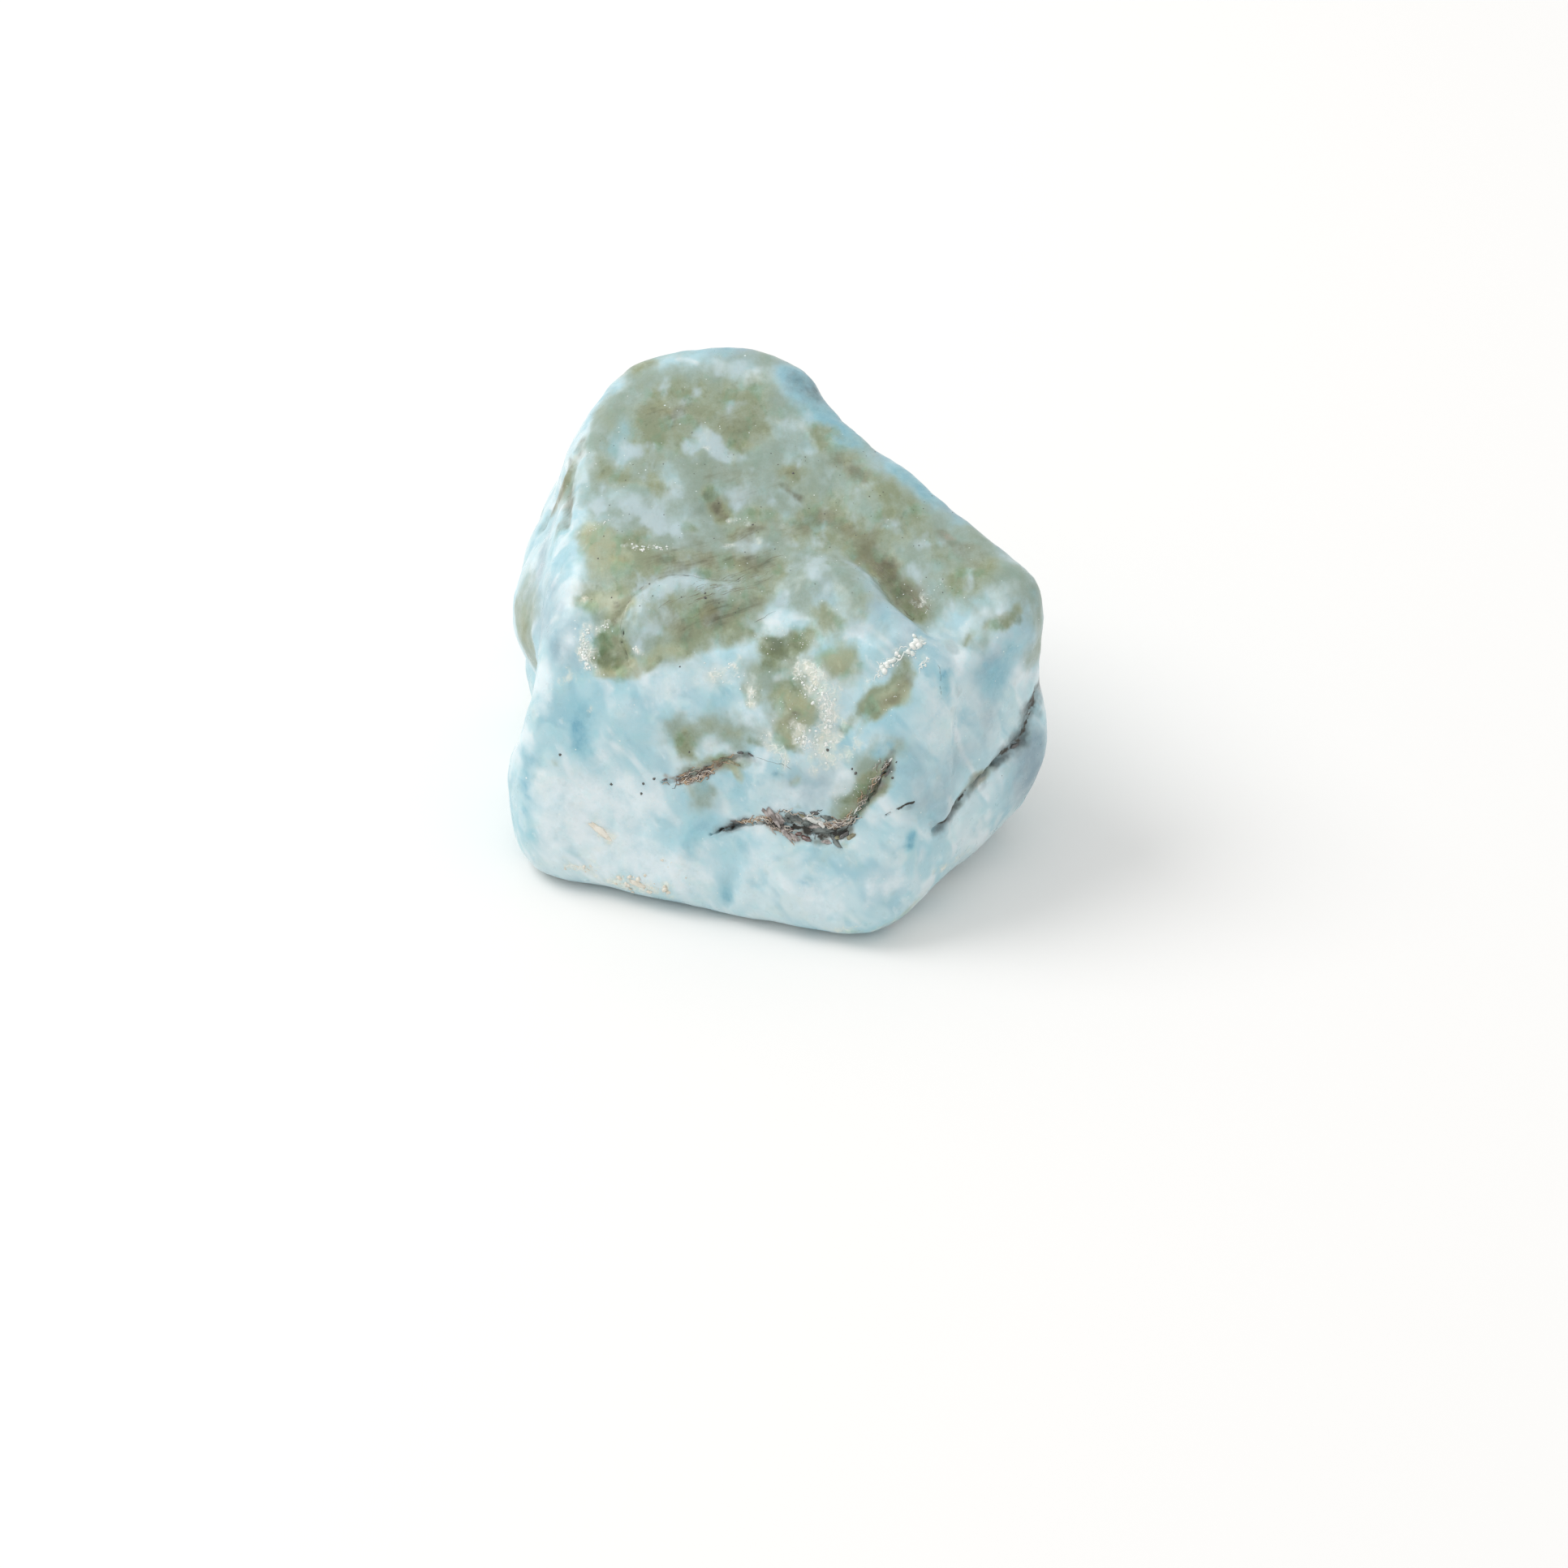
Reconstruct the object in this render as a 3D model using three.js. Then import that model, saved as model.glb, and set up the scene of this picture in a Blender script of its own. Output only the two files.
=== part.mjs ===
// A piece of raw larimar: one blocky, water-smoothed lump of blue pectolite that broke
// along flat partings and then had its edges worn round.
// Millimetres, +Z up. The origin is at the middle of the stone's box, on the surface it rests on.
// The widest broken flank faces -Y, and the stone rises to a blunt dome at +Y.
import * as THREE from "three";
import { ImprovedNoise } from "three/addons/math/ImprovedNoise.js";
import { mergeVertices } from "three/addons/utils/BufferGeometryUtils.js";

const ICOSAHEDRON_DETAIL = 19; // 8000 triangles, about 0.9 mm from corner to corner
const EDGE_WEAR = 0.75; // how softly two flanks run into each other
const LONGEST_RAY = 40; // from the heart to well outside the stone
const HALVINGS = 40; // steps of the search along each ray
const HEART = new THREE.Vector3(0, 1, 9); // inside the stone: every point of the skin is in its sight

// A flank is a broad flat. bearing is the compass direction it faces, seen from above
// (0 is +Y and 90 is +X), lean is how far it faces upwards, and point is a spot on it.
function flank(bearing, lean, x, y, z) {
  const across = THREE.MathUtils.degToRad(bearing);
  const up = THREE.MathUtils.degToRad(lean);
  const normal = new THREE.Vector3(
    Math.sin(across) * Math.cos(up),
    Math.cos(across) * Math.cos(up),
    Math.sin(up),
  );
  return new THREE.Plane().setFromNormalAndCoplanarPoint(normal, new THREE.Vector3(x, y, z));
}

const FLANKS = [
  flank(199, 12, 4.3, -16.6, 1), // lower front
  flank(188, 27, 7, -10.7, 15.2), // upper front, leaning back under the brow
  flank(197, 44, 0, -11, 12.9), // worn brow between the front and the top
  flank(127, 5, 12.6, -6.9, 8), // the right-hand front corner, broken off
  flank(118, -38, 13.4, -6.3, 3), // undercut below it
  flank(75, -5, 13.9, -4, 12), // right
  flank(53, 5, 5.3, 8.8, 12), // right-hand back
  flank(8, 30, -4, 16.8, 16), // upper back
  flank(10, -6, -3, 18.6, 6), // lower back
  flank(264, 27, -12.15, 0, 15.2), // upper left
  flank(268, -4, -14.8, 0, 6), // lower left
  flank(294, 16, -13.2, 11.6, 12), // left-hand back
  flank(178, 76, 0, 0, 16.6), // top
  flank(214, -45, -11, -12.2, 0.6), // undercut below the left-hand front corner
  flank(0, -90, 0, 0, -0.15), // underside, worn flat at zero where the stone rests
];

// A swell is a low rise or, with a negative height, a hollow: a ridge or trough along the
// line between its two ends, fading over its width.
function swell(height, width, from, to = from) {
  return { height, width, line: new THREE.Line3(new THREE.Vector3(...from), new THREE.Vector3(...to)) };
}

const SWELLS = [
  swell(0.5, 2.4, [-14, 2, 9.5]), // knob on the left, behind the ridge
  swell(0.9, 3.0, [-13.6, -6, 3.5]), // bulge of the left-hand front corner
  swell(-1.6, 1.6, [-13.8, -4, 8.4], [-14, 4, 4]), // groove between the two
  swell(0.35, 1.0, [-12, 6, 17], [-12, -6, 13.4]), // crest between the top and the left
  swell(-0.4, 1.0, [-13.2, 10, 15.4], [-13.2, 5, 13.6]), // crease down the left
  swell(1.1, 2.6, [13.5, -4.5, 5.8], [13, 4, 5.4]), // bulge under the long crack
  swell(0.6, 4.0, [-1.5, 16, 18]), // crown of the dome
  swell(-0.4, 2.6, [-9, 15, 18.5]), // its left side, worn lower
  swell(-0.25, 3.0, [4, 11, 16]), // saddle between the dome and the right-hand shoulder
  swell(0.6, 2.6, [14, -4, 14]), // right-hand shoulder
  swell(-0.5, 3.5, [-2, 1, 17]), // dip across the middle of the top
  swell(0.4, 2.6, [-6, -5, 15.2]), // low boss on the left of the top
  swell(0.5, 2.0, [2.6, -4.6, 15.5], [5, -7, 15]), // boss on the right of the top
  swell(-0.8, 0.9, [4.8, -2.4, 16.2], [8.6, -7.2, 15]), // valley beside that boss
  swell(0.5, 1.8, [0.2, -10.8, 12.2]), // boss on the brow
  swell(-0.35, 1.4, [3.6, -10.6, 12.6], [2.4, -12.4, 9]), // hollow to the right of it
  swell(-0.4, 1.6, [-6, -11, 8.2], [-2.5, -11.8, 9]), // upper pocket in the front
  swell(-0.5, 1.7, [-3, -13, 6], [4, -13.8, 6.6]), // lower pocket in the front
  swell(0.35, 1.2, [-4, -13.6, 4], [1.5, -14.6, 4]), // fold under the lower pocket
  swell(-0.4, 1.2, [9, -10.4, 13], [9, -11, 9]), // flute down the right
];

// The skin also rises and falls without a pattern, in broad waves with short ones on them.
const WAVES = [
  { height: 0.28, length: 5.5 },
  { height: 0.12, length: 2.6 },
];
const WAVES_FULL_HEIGHT = 2.5; // they fade out below this, down to the flat it rests on
const noise = new ImprovedNoise();

const nearest = new THREE.Vector3();

// Below zero inside the stone and above zero outside it, roughly in millimetres.
function outsideness(point) {
  let worn = 0;
  for (const plane of FLANKS) worn += Math.exp(plane.distanceToPoint(point) / EDGE_WEAR);
  let depth = EDGE_WEAR * Math.log(worn);
  for (const { height, width, line } of SWELLS) {
    const gap = line.closestPointToPoint(point, true, nearest).distanceTo(point);
    depth -= height * Math.exp(-0.5 * (gap / width) ** 2);
  }
  const lift = THREE.MathUtils.smoothstep(point.z, 0, WAVES_FULL_HEIGHT);
  for (const { height, length } of WAVES) {
    depth -= lift * height * noise.noise(point.x / length, point.y / length, point.z / length);
  }
  return depth;
}

// The point of the skin that lies from the heart in this direction.
function skinPoint(direction, point) {
  let inside = 0;
  let outside = LONGEST_RAY;
  for (let i = 0; i < HALVINGS; i += 1) {
    const middle = (inside + outside) / 2;
    point.copy(HEART).addScaledVector(direction, middle);
    if (outsideness(point) > 0) outside = middle;
    else inside = middle;
  }
  if (point.z < 0) {
    point.copy(HEART).addScaledVector(direction, -HEART.z / direction.z);
    point.z = 0;
  }
  return point;
}

function stoneGeometry() {
  const ball = new THREE.IcosahedronGeometry(1, ICOSAHEDRON_DETAIL);
  ball.deleteAttribute("normal");
  ball.deleteAttribute("uv");
  const geometry = mergeVertices(ball, 1e-5);
  const corners = geometry.getAttribute("position");
  const direction = new THREE.Vector3();
  const point = new THREE.Vector3();
  for (let i = 0; i < corners.count; i += 1) {
    skinPoint(direction.fromBufferAttribute(corners, i).normalize(), point);
    corners.setXYZ(i, point.x, point.y, point.z);
  }
  geometry.computeBoundingBox();
  const middle = geometry.boundingBox.getCenter(new THREE.Vector3());
  geometry.translate(-middle.x, -middle.y, 0);
  geometry.computeVertexNormals();
  return geometry;
}

const larimar = new THREE.MeshStandardMaterial({ color: 0xb4d3dd, roughness: 0.45, metalness: 0 });

const stone = new THREE.Mesh(stoneGeometry(), larimar);
stone.name = "larimar_stone";

const rawLarimar = new THREE.Group();
rawLarimar.add(stone);
export default rawLarimar;
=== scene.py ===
import bmesh
import bpy
import numpy as np
from mathutils import Matrix, Vector, noise
from mathutils.bvhtree import BVHTree


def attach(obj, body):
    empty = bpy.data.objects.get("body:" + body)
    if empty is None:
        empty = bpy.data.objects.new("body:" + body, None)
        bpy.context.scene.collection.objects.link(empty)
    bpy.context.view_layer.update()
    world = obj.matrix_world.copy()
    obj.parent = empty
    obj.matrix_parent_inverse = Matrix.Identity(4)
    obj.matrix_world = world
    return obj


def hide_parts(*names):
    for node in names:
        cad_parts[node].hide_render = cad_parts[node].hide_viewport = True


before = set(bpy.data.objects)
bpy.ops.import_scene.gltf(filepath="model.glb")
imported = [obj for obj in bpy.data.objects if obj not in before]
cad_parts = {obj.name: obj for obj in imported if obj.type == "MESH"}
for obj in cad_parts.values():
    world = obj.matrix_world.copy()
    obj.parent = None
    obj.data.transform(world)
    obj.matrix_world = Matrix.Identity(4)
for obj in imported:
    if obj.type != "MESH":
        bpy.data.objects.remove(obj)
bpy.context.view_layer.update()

# ---- The setting -------------------------------------------------------------------------
# A close-up on a white card: the camera looks down on the stone from in front. The room is
# white all round, and one broad window lamp leaves a faint shadow to the right of the stone.
MM = 0.001
CAMERA_HEIGHT_ANGLE = np.radians(33)
CAMERA_DISTANCE = 245 * MM
AIM = Vector((0.4, -1.9, 0)) * MM  # the spot of the card in the middle of the picture
FOCAL_LENGTH = 100
CARD_SIZE = 3.0
ROOM_BRIGHTNESS = 0.8
LAMP_PLACE = Vector((-0.32, 0.10, 0.40))
LAMP_SIZE = 0.34
LAMP_WATTS = 1.2


def linear(hex_colour):
    """An sRGB hex colour as the linear RGBA that a shader takes."""
    srgb = np.array([int(hex_colour[i:i + 2], 16) / 255 for i in (1, 3, 5)])
    rgb = np.where(srgb <= 0.04045, srgb / 12.92, ((srgb + 0.055) / 1.055) ** 2.4)
    return (*rgb, 1.0)


def add(tree, kind, settings=None, **sockets):
    """Adds a node. Each socket takes a value or an output, or a list where several share a name."""
    node = tree.nodes.new("ShaderNode" + kind)
    for name, value in (settings or {}).items():
        setattr(node, name, value)
    enabled = [socket for socket in node.inputs if socket.enabled]
    for name, values in sockets.items():
        alike = [socket for socket in enabled if socket.name == name.replace("_", " ")]
        for socket, value in zip(alike, values if isinstance(values, list) else [values]):
            if isinstance(value, bpy.types.NodeSocket):
                tree.links.new(value, socket)
            else:
                socket.default_value = value
    return next((socket for socket in node.outputs if socket.enabled), None)


def empty_material(name):
    """A new material of that name, and its node tree with nothing in it."""
    material = bpy.data.materials.new(name)
    material.use_nodes = True
    material.node_tree.nodes.clear()
    return material, material.node_tree


def place_in_scene(name, data):
    """A new object in the scene that shows this mesh, light or camera."""
    thing = bpy.data.objects.new(name, data)
    bpy.context.scene.collection.objects.link(thing)
    return thing


bpy.context.scene.view_settings.view_transform = "Standard"

close_up = bpy.data.cameras.new("close_up")
close_up.lens = FOCAL_LENGTH
close_up.clip_start = 10 * MM
camera = place_in_scene("close_up", close_up)
towards_camera = Vector((0, -np.cos(CAMERA_HEIGHT_ANGLE), np.sin(CAMERA_HEIGHT_ANGLE)))
camera.location = AIM + towards_camera * CAMERA_DISTANCE
camera.rotation_euler = towards_camera.to_track_quat("Z", "Y").to_euler()
bpy.context.scene.camera = camera

card_shape = bmesh.new()
bmesh.ops.create_grid(card_shape, size=CARD_SIZE / 2)
card_mesh = bpy.data.meshes.new("white_card")
card_shape.to_mesh(card_mesh)
card = place_in_scene("white_card", card_mesh)

# Matt card: an even white without shine, on which only the soft shadow shows.
matt_card, tree = empty_material("matt_white_card")
paper = add(tree, "BsdfPrincipled", Base_Color=linear("#f7f6f4"), Roughness=0.9)
add(tree, "OutputMaterial", Surface=paper)
card_mesh.materials.append(matt_card)

room = bpy.data.worlds.new("white_room")
room.use_nodes = True
room.node_tree.nodes["Background"].inputs["Color"].default_value = linear("#ffffff")
room.node_tree.nodes["Background"].inputs["Strength"].default_value = ROOM_BRIGHTNESS
bpy.context.scene.world = room

window = bpy.data.lights.new("window_lamp", "AREA")
window.shape = "DISK"
window.size = LAMP_SIZE
window.energy = LAMP_WATTS
window_lamp = place_in_scene("window_lamp", window)
window_lamp.location = LAMP_PLACE
window_lamp.rotation_euler = LAMP_PLACE.to_track_quat("Z", "Y").to_euler()

# ---- The stone ---------------------------------------------------------------------------
# One lump of larimar, the sky-blue pectolite that fills gas holes in lava. It broke along flat
# partings and its edges were worn round, so its skin is smooth, with shallow waves, two open
# pockets in the front, a long crack on the right and a few thin partings on the top and left.
STONE_NODE = "larimar_stone"
ROUNDING_LEVELS = 2

# Lines on the skin, in millimetres, with the half-width of the opening at each point.
UPPER_POCKET = [
    (-6.1, -12.9, 7.2), (-5.2, -13, 7.5), (-3.9, -13, 8.1), (-2.8, -13.2, 8.8), (-1.5, -13.5, 9.4),
]
UPPER_POCKET_WIDTHS = [0.03, 0.12, 0.18, 0.08, 0.1]
LOWER_POCKET = [
    (-3.5, -14.3, 4.9), (-2.2, -14.3, 5.4), (-0.6, -14.7, 5.9), (0.9, -15.2, 5.9), (2.4, -15.8, 5.8),
    (3.6, -15.8, 6), (4.3, -15.4, 7), (5.2, -15.2, 8.3), (6.1, -14.9, 10),
]
LOWER_POCKET_WIDTHS = [0.02, 0.07, 0.03, 0.2, 0.3, 0.24, 0.04, 0.05, 0.03]
LONG_CRACK = [
    (8.3, -15.1, 5.7), (9.5, -13.6, 5.9), (10.8, -12, 6.8), (11.7, -10.9, 7.2), (12.6, -9.8, 7.4),
    (13.4, -8.9, 7.7), (13.6, -8.3, 8.4), (14.2, -7.2, 9.1),
]
LONG_CRACK_WIDTHS = [0.05, 0.15, 0.05, 0.06, 0.16, 0.2, 0.28, 0.34]
SHORT_CRACK = [(5.7, -15.7, 7), (6.6, -15.6, 7.4), (7.3, -15.4, 7.7)]
SHORT_CRACK_WIDTHS = [0.03, 0.07, 0.04]
BOSS_PARTING = [(-7.7, -7.9, 14.7), (-8.1, -8.6, 14.3), (-8.2, -9.2, 13.7), (-7.9, -10, 13)]
BOSS_PARTING_WIDTHS = [0.02, 0.04, 0.05, 0.02]
BACK_CRACK = [
    (-11, 15.4, 7.8), (-9.6, 17.2, 8.4), (-8, 17.7, 8.8), (-6.4, 17.5, 9.8), (-5, 17.3, 10.2),
    (-3.4, 16.8, 11.4),
]
BACK_CRACK_WIDTHS = [0.03, 0.06, 0.12, 0.06, 0.1, 0.03]
OPENINGS = [  # with how deep each goes and how black its line of oxide and painted shade is
    (UPPER_POCKET, UPPER_POCKET_WIDTHS, 0.2, 0.3),
    (LOWER_POCKET, LOWER_POCKET_WIDTHS, 0.35, 0.62),
    (LONG_CRACK, LONG_CRACK_WIDTHS, 0.3, 0.5),
    (SHORT_CRACK, SHORT_CRACK_WIDTHS, 0.1, 0.9),
    (BOSS_PARTING, BOSS_PARTING_WIDTHS, 0.12, 0.7),
    (BACK_CRACK, BACK_CRACK_WIDTHS, 0.25, 0.7),
]
OPENING_FLARE = 1.2  # how many times as wide as its black line an opening is
CRUSTED_BROW = [  # the skin needs short faces here for the edge of the white crust
    (0.5, -12, 13.5), (2, -12, 13), (2.3, -13, 12), (3, -13.6, 11), (2.8, -14, 10), (1, -14, 9.6),
    (-0.5, -13.5, 10.5),
]
FINER_WITHIN = 1.0  # faces this near to the openings and the crusted brow are cut finer
FINEST_WITHIN = 0.5  # and this near to the openings once more

# Low ridges and, with a negative height, troughs: height, half-width and line, in millimetres.
RELIEF = [
    (0.15, 0.5, [(-10.5, -3, 15.9), (-10.8, -7, 14.3), (-12, -9.6, 11)]),  # crest on the left
    (-0.3, 0.3, [(-11, 4.5, 17.5), (-11.5, 2.5, 16.5), (-11.5, -1, 16)]),  # partings on the left
    (-0.35, 0.3, [(-12, 4.5, 16.5), (-12.5, 5.5, 14), (-13, 4.5, 13)]),
    # round the boss on the left of the top, and the rim of it
    (-0.14, 0.2, [(-8.2, -8.1, 14.8), (-7.6, -7, 15.2), (-6.8, -6.1, 15.6), (-4.6, -5.6, 15.8),
                  (-2, -5.8, 15.7)]),
    (0.16, 0.5, [(-7.2, -8.2, 14.8), (-6.2, -6.9, 15.5), (-4.4, -6.5, 15.7), (-2.6, -6.8, 15.5)]),
    (-0.25, 0.35, [(5, -5, 15.4), (6.4, -7.3, 15), (7.9, -8.9, 14.4)]),  # foot of the valley
    (0.2, 0.6, [(4.4, -5.6, 15.4), (5.7, -7.8, 15), (7.2, -9.6, 14.4)]),  # the lip beside it
    (-0.2, 0.5, [(0.4, -10.4, 14), (1.4, -9.6, 14.5)]),  # hollow on the brow
    (-0.15, 0.5, [(-9, -9.2, 13.3), (-8.8, -8.2, 14.2)]),  # hollow on the left of the boss
    (0.12, 0.25, [(-9.2, -10.3, 12.3), (-7.6, -10.3, 12.6)]),  # ledge below it
    # hollows and swells across the top
    (-0.2, 0.5, [(-3.8, -0.5, 16.8), (-2.6, -1.6, 16.4)]),
    (-0.15, 0.6, [(0.4, -1, 16.4), (2, 0, 16.5)]),
    (0.15, 0.7, [(-2.5, 1, 17), (0, 1.2, 17)]),
    (-0.2, 0.7, [(9, -2.4, 16.2), (10.6, -4.6, 15.9)]),
    # fold in the front, and its chipped foot
    (0.12, 0.9, [(-6, -14, 4), (-1, -15, 3.6)]),
    (-0.12, 0.6, [(-9, -12.6, 6.6), (-6.6, -13.8, 3.6)]),
    (0.15, 0.5, [(-9, -13.4, 1.4), (-5.5, -14.8, 1.6)]),
    # folds down the left
    (0.2, 0.35, [(-11.6, -4, 13.6), (-12, -7.5, 12), (-12.6, -9.2, 9.5), (-13, -9.8, 7)]),
    (-0.2, 0.35, [(-12.2, -3.5, 12.8), (-12.8, -6.5, 11), (-13.3, -8, 8.5)]),
    (0.18, 0.4, [(-12.8, -2.5, 12.4), (-13.4, -5.5, 10.4), (-13.9, -7, 8)]),
    # the right-hand corner
    (0.3, 0.5, [(8.2, -10.4, 14), (8.8, -12.4, 11.5), (9, -13.6, 8.6), (8.8, -14.6, 5.4)]),
    (-0.2, 0.5, [(9.6, -10, 13.8), (10, -11.6, 11), (10.2, -12.4, 8.6)]),
    # ridge on the brow
    (0.3, 0.7, [(0.8, -6.2, 15.9), (3.2, -6, 16), (4.4, -7.6, 15.5), (6.4, -9.8, 14.8)]),
    (0.2, 0.5, [(5.2, -10.9, 14.3), (7.4, -10.7, 14.4)]),
    (-0.15, 0.4, [(4.8, -12, 13.3), (6, -12.2, 13.2)]),
    # slanting folds low in the front, and short creases along its foot
    (0.15, 0.5, [(-6.6, -14.1, 4.4), (-3, -15.2, 2.6)]),
    (-0.15, 0.4, [(-5.4, -13.9, 5.2), (-2.2, -15.2, 3)]),
    (-0.13, 0.25, [(-2.5, -15.4, 2.9), (-2.8, -15.7, 1)]),
    (0.13, 0.3, [(-1.6, -15.6, 3.3), (-1.8, -16, 1.2)]),
    (-0.15, 0.28, [(0.9, -16.5, 3.9), (2.3, -17.1, 2.9)]),
    (0.12, 0.35, [(4.9, -17.1, 4.6), (4.6, -17.8, 2.2)]),
    (-0.12, 0.3, [(6.4, -16.6, 4.8), (6, -17.3, 2.4)]),
    (0.12, 0.4, [(-5.2, -14.3, 3.6), (-5.4, -14.9, 1.6)]),
    (-0.12, 0.3, [(7.6, -15.6, 6.4), (7.8, -16.2, 3.4)]),
    (0.2, 0.6, [(12, -9.5, 13.5), (13.4, -7.8, 13.6)]),  # shoulder of the right-hand corner
    (-0.3, 0.6, [(-6.4, 16.4, 14.4), (-7.6, 17.6, 9), (-8.6, 17.4, 4)]),  # folds down the back
    (0.2, 0.7, [(-3.4, 15.4, 15.4), (-3.8, 16.9, 10), (-4.4, 16.7, 5)]),
    (0.25, 0.6, [(1.4, 13, 15), (2.6, 11.6, 10), (3, 11.6, 4)]),
    (-0.25, 0.5, [(5.8, 6.2, 14), (6.6, 6.7, 10), (6.4, 7.6, 6)]),  # down the right-hand back
    (0.2, 0.6, [(8.6, 2.8, 13.4), (9.6, 2.4, 9), (10.4, 2.4, 4.6)]),
    (-0.2, 0.5, [(12.2, -1.6, 12.6), (12.8, -1.8, 9)]),
    (-0.25, 0.6, [(-13.8, 7.4, 12), (-14.3, 7.6, 8), (-14.4, 7, 3.6)]),  # down the left-hand back
    (0.2, 0.7, [(-12, 11.6, 12.6), (-13.2, 11.8, 7.6), (-13.9, 11.8, 3)]),
]
RELIEF_FULL_HEIGHT = 0.6  # it fades out below this, down to the flat that the stone rests on

# How far, in millimetres, and over what length something strays or rises.
SKIN_WAVES = ((0.14, 2.6), (0.06, 1.1), (0.02, 0.4))
RELIEF_WANDER = ((0.12, 0.45),)
CLOUD_WANDER = ((0.35, 2.4), (0.2, 0.8))
WANDER_SEED = 3  # of noise_vector, which is otherwise seeded from the clock


def closeness(places, line, width, steepness=2):
    """1 on a line and fading beside it. The width is one value, or one for each point of the line."""
    line = np.array(line, float)
    widths = np.broadcast_to(width, len(line))
    nearest = np.zeros(len(places))
    for i in range(max(len(line) - 1, 1)):
        j = min(i + 1, len(line) - 1)
        along = line[j] - line[i]
        share = np.clip((places - line[i]) @ along / max(along @ along, 1e-9), 0, 1)
        gap = np.linalg.norm(places - line[i] - share[:, None] * along, axis=1)
        width_here = widths[i] + share * (widths[j] - widths[i])
        nearest = np.maximum(nearest, np.exp(-0.5 * (gap / width_here) ** steepness))
    return nearest


def wander(places, waves):
    """The places, each moved a little to one side without a pattern."""
    moved = places.copy()
    for distance, length in waves:
        moved += distance * np.array([noise.noise_vector(Vector(place)) for place in places / length])
    return moved


def cut_finer(skin, lines, reach):
    """Cuts each face of the skin that lies within reach of one of the lines into four."""
    centres = np.array([face.calc_center_median() for face in skin.faces]) / MM
    near = np.max([closeness(centres, line, reach) for line in lines], axis=0) > np.exp(-0.5)
    near_faces = [face for face, is_near in zip(skin.faces, near) if is_near]
    edges = dict.fromkeys(edge for face in near_faces for edge in face.edges)  # a set has no fixed order
    bmesh.ops.subdivide_edges(skin, edges=list(edges), cuts=1, use_grid_fill=True)


skin = bmesh.new()
skin.from_mesh(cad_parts[STONE_NODE].data)
bmesh.ops.remove_doubles(skin, verts=skin.verts, dist=0.001 * MM)
bmesh.ops.join_triangles(skin, faces=skin.faces, angle_face_threshold=0.7, angle_shape_threshold=1.2)
rough_mesh = bpy.data.meshes.new("rough_stone")
skin.to_mesh(rough_mesh)
rough_stone = place_in_scene("rough_stone", rough_mesh)
rounding = rough_stone.modifiers.new("rounding", "SUBSURF")
rounding.levels = ROUNDING_LEVELS
rounded = rough_stone.evaluated_get(bpy.context.evaluated_depsgraph_get())
skin.clear()
skin.from_mesh(rounded.to_mesh())
bpy.data.objects.remove(rough_stone)

opening_lines = [opening[0] for opening in OPENINGS]
cut_finer(skin, [*opening_lines, CRUSTED_BROW], FINER_WITHIN)
cut_finer(skin, opening_lines, FINEST_WITHIN)
skin.normal_update()
outwards = np.array([vertex.normal for vertex in skin.verts])
places = np.array([vertex.co for vertex in skin.verts]) / MM

noise.seed_set(WANDER_SEED)
uneven = wander(places, RELIEF_WANDER)
rise = np.zeros(len(places))
for height, width, line in RELIEF:
    rise += height * closeness(uneven, line, width)
for height, length in SKIN_WAVES:
    rise += height * np.array([noise.noise(Vector(place)) for place in places / length])
for line, widths, depth, _ in OPENINGS:
    rise -= depth * closeness(uneven, line, np.array(widths) * OPENING_FLARE)
rise *= np.clip(places[:, 2] / RELIEF_FULL_HEIGHT, 0, 1)
places += outwards * rise[:, None]
places[:, 2] = np.maximum(places[:, 2], 0)
for vertex, place in zip(skin.verts, places * MM):
    vertex.co = place
skin.normal_update()

stone_mesh = bpy.data.meshes.new("larimar")
skin.to_mesh(stone_mesh)
skin.free()
stone_mesh.polygons.foreach_set("use_smooth", [True] * len(stone_mesh.polygons))
stone = place_in_scene("larimar", stone_mesh)

# The weathered rind over the top, as its outline seen from above, in millimetres.
RIND = [
    (-10.6, 5), (-10.6, -1), (-10.3, -5), (-10.2, -8), (-9.9, -10), (-8.8, -10.3), (-7.6, -10.1),
    (-6.2, -10.3), (-5, -10.2), (-3.6, -9.8), (-2.2, -9.5), (-0.6, -9.1), (0, -8.2), (-0.3, -7),
    (0.6, -5.8), (2, -4.9), (3.6, -4.3), (5, -5), (6, -7), (7.8, -9.1), (8.7, -8.5), (9.6, -7.4),
    (11.4, -7), (13, -6), (12.6, -4), (11, -1.5), (8, 1.5), (5.5, 4.5), (3.4, 7), (1.6, 8.6),
    (-1, 9.4), (-5, 10.5), (-8, 10.5), (-10, 8),
]
RIND_LOWEST = 12  # the outline says nothing about the flanks below this
RIND_EDGE = 1.6  # across its fading edge


def inside(places, outline):
    """How far inside an outline the places lie, seen from above: below zero outside it."""
    gap = np.full(len(places), np.inf)
    within = np.zeros(len(places), bool)
    spots = places[:, :2]
    for start, end in zip(np.array(outline, float), np.roll(outline, -1, axis=0)):
        along = end - start
        share = np.clip((spots - start) @ along / (along @ along), 0, 1)
        gap = np.minimum(gap, np.linalg.norm(spots - start - share[:, None] * along, axis=1))
        crosses = (start[1] > spots[:, 1]) != (end[1] > spots[:, 1])
        edge_x = start[0] + along[0] * (spots[:, 1] - start[1]) / (along[1] or 1e-9)
        within ^= crosses & (spots[:, 0] < edge_x)
    return np.where(within, gap, -gap)
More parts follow.
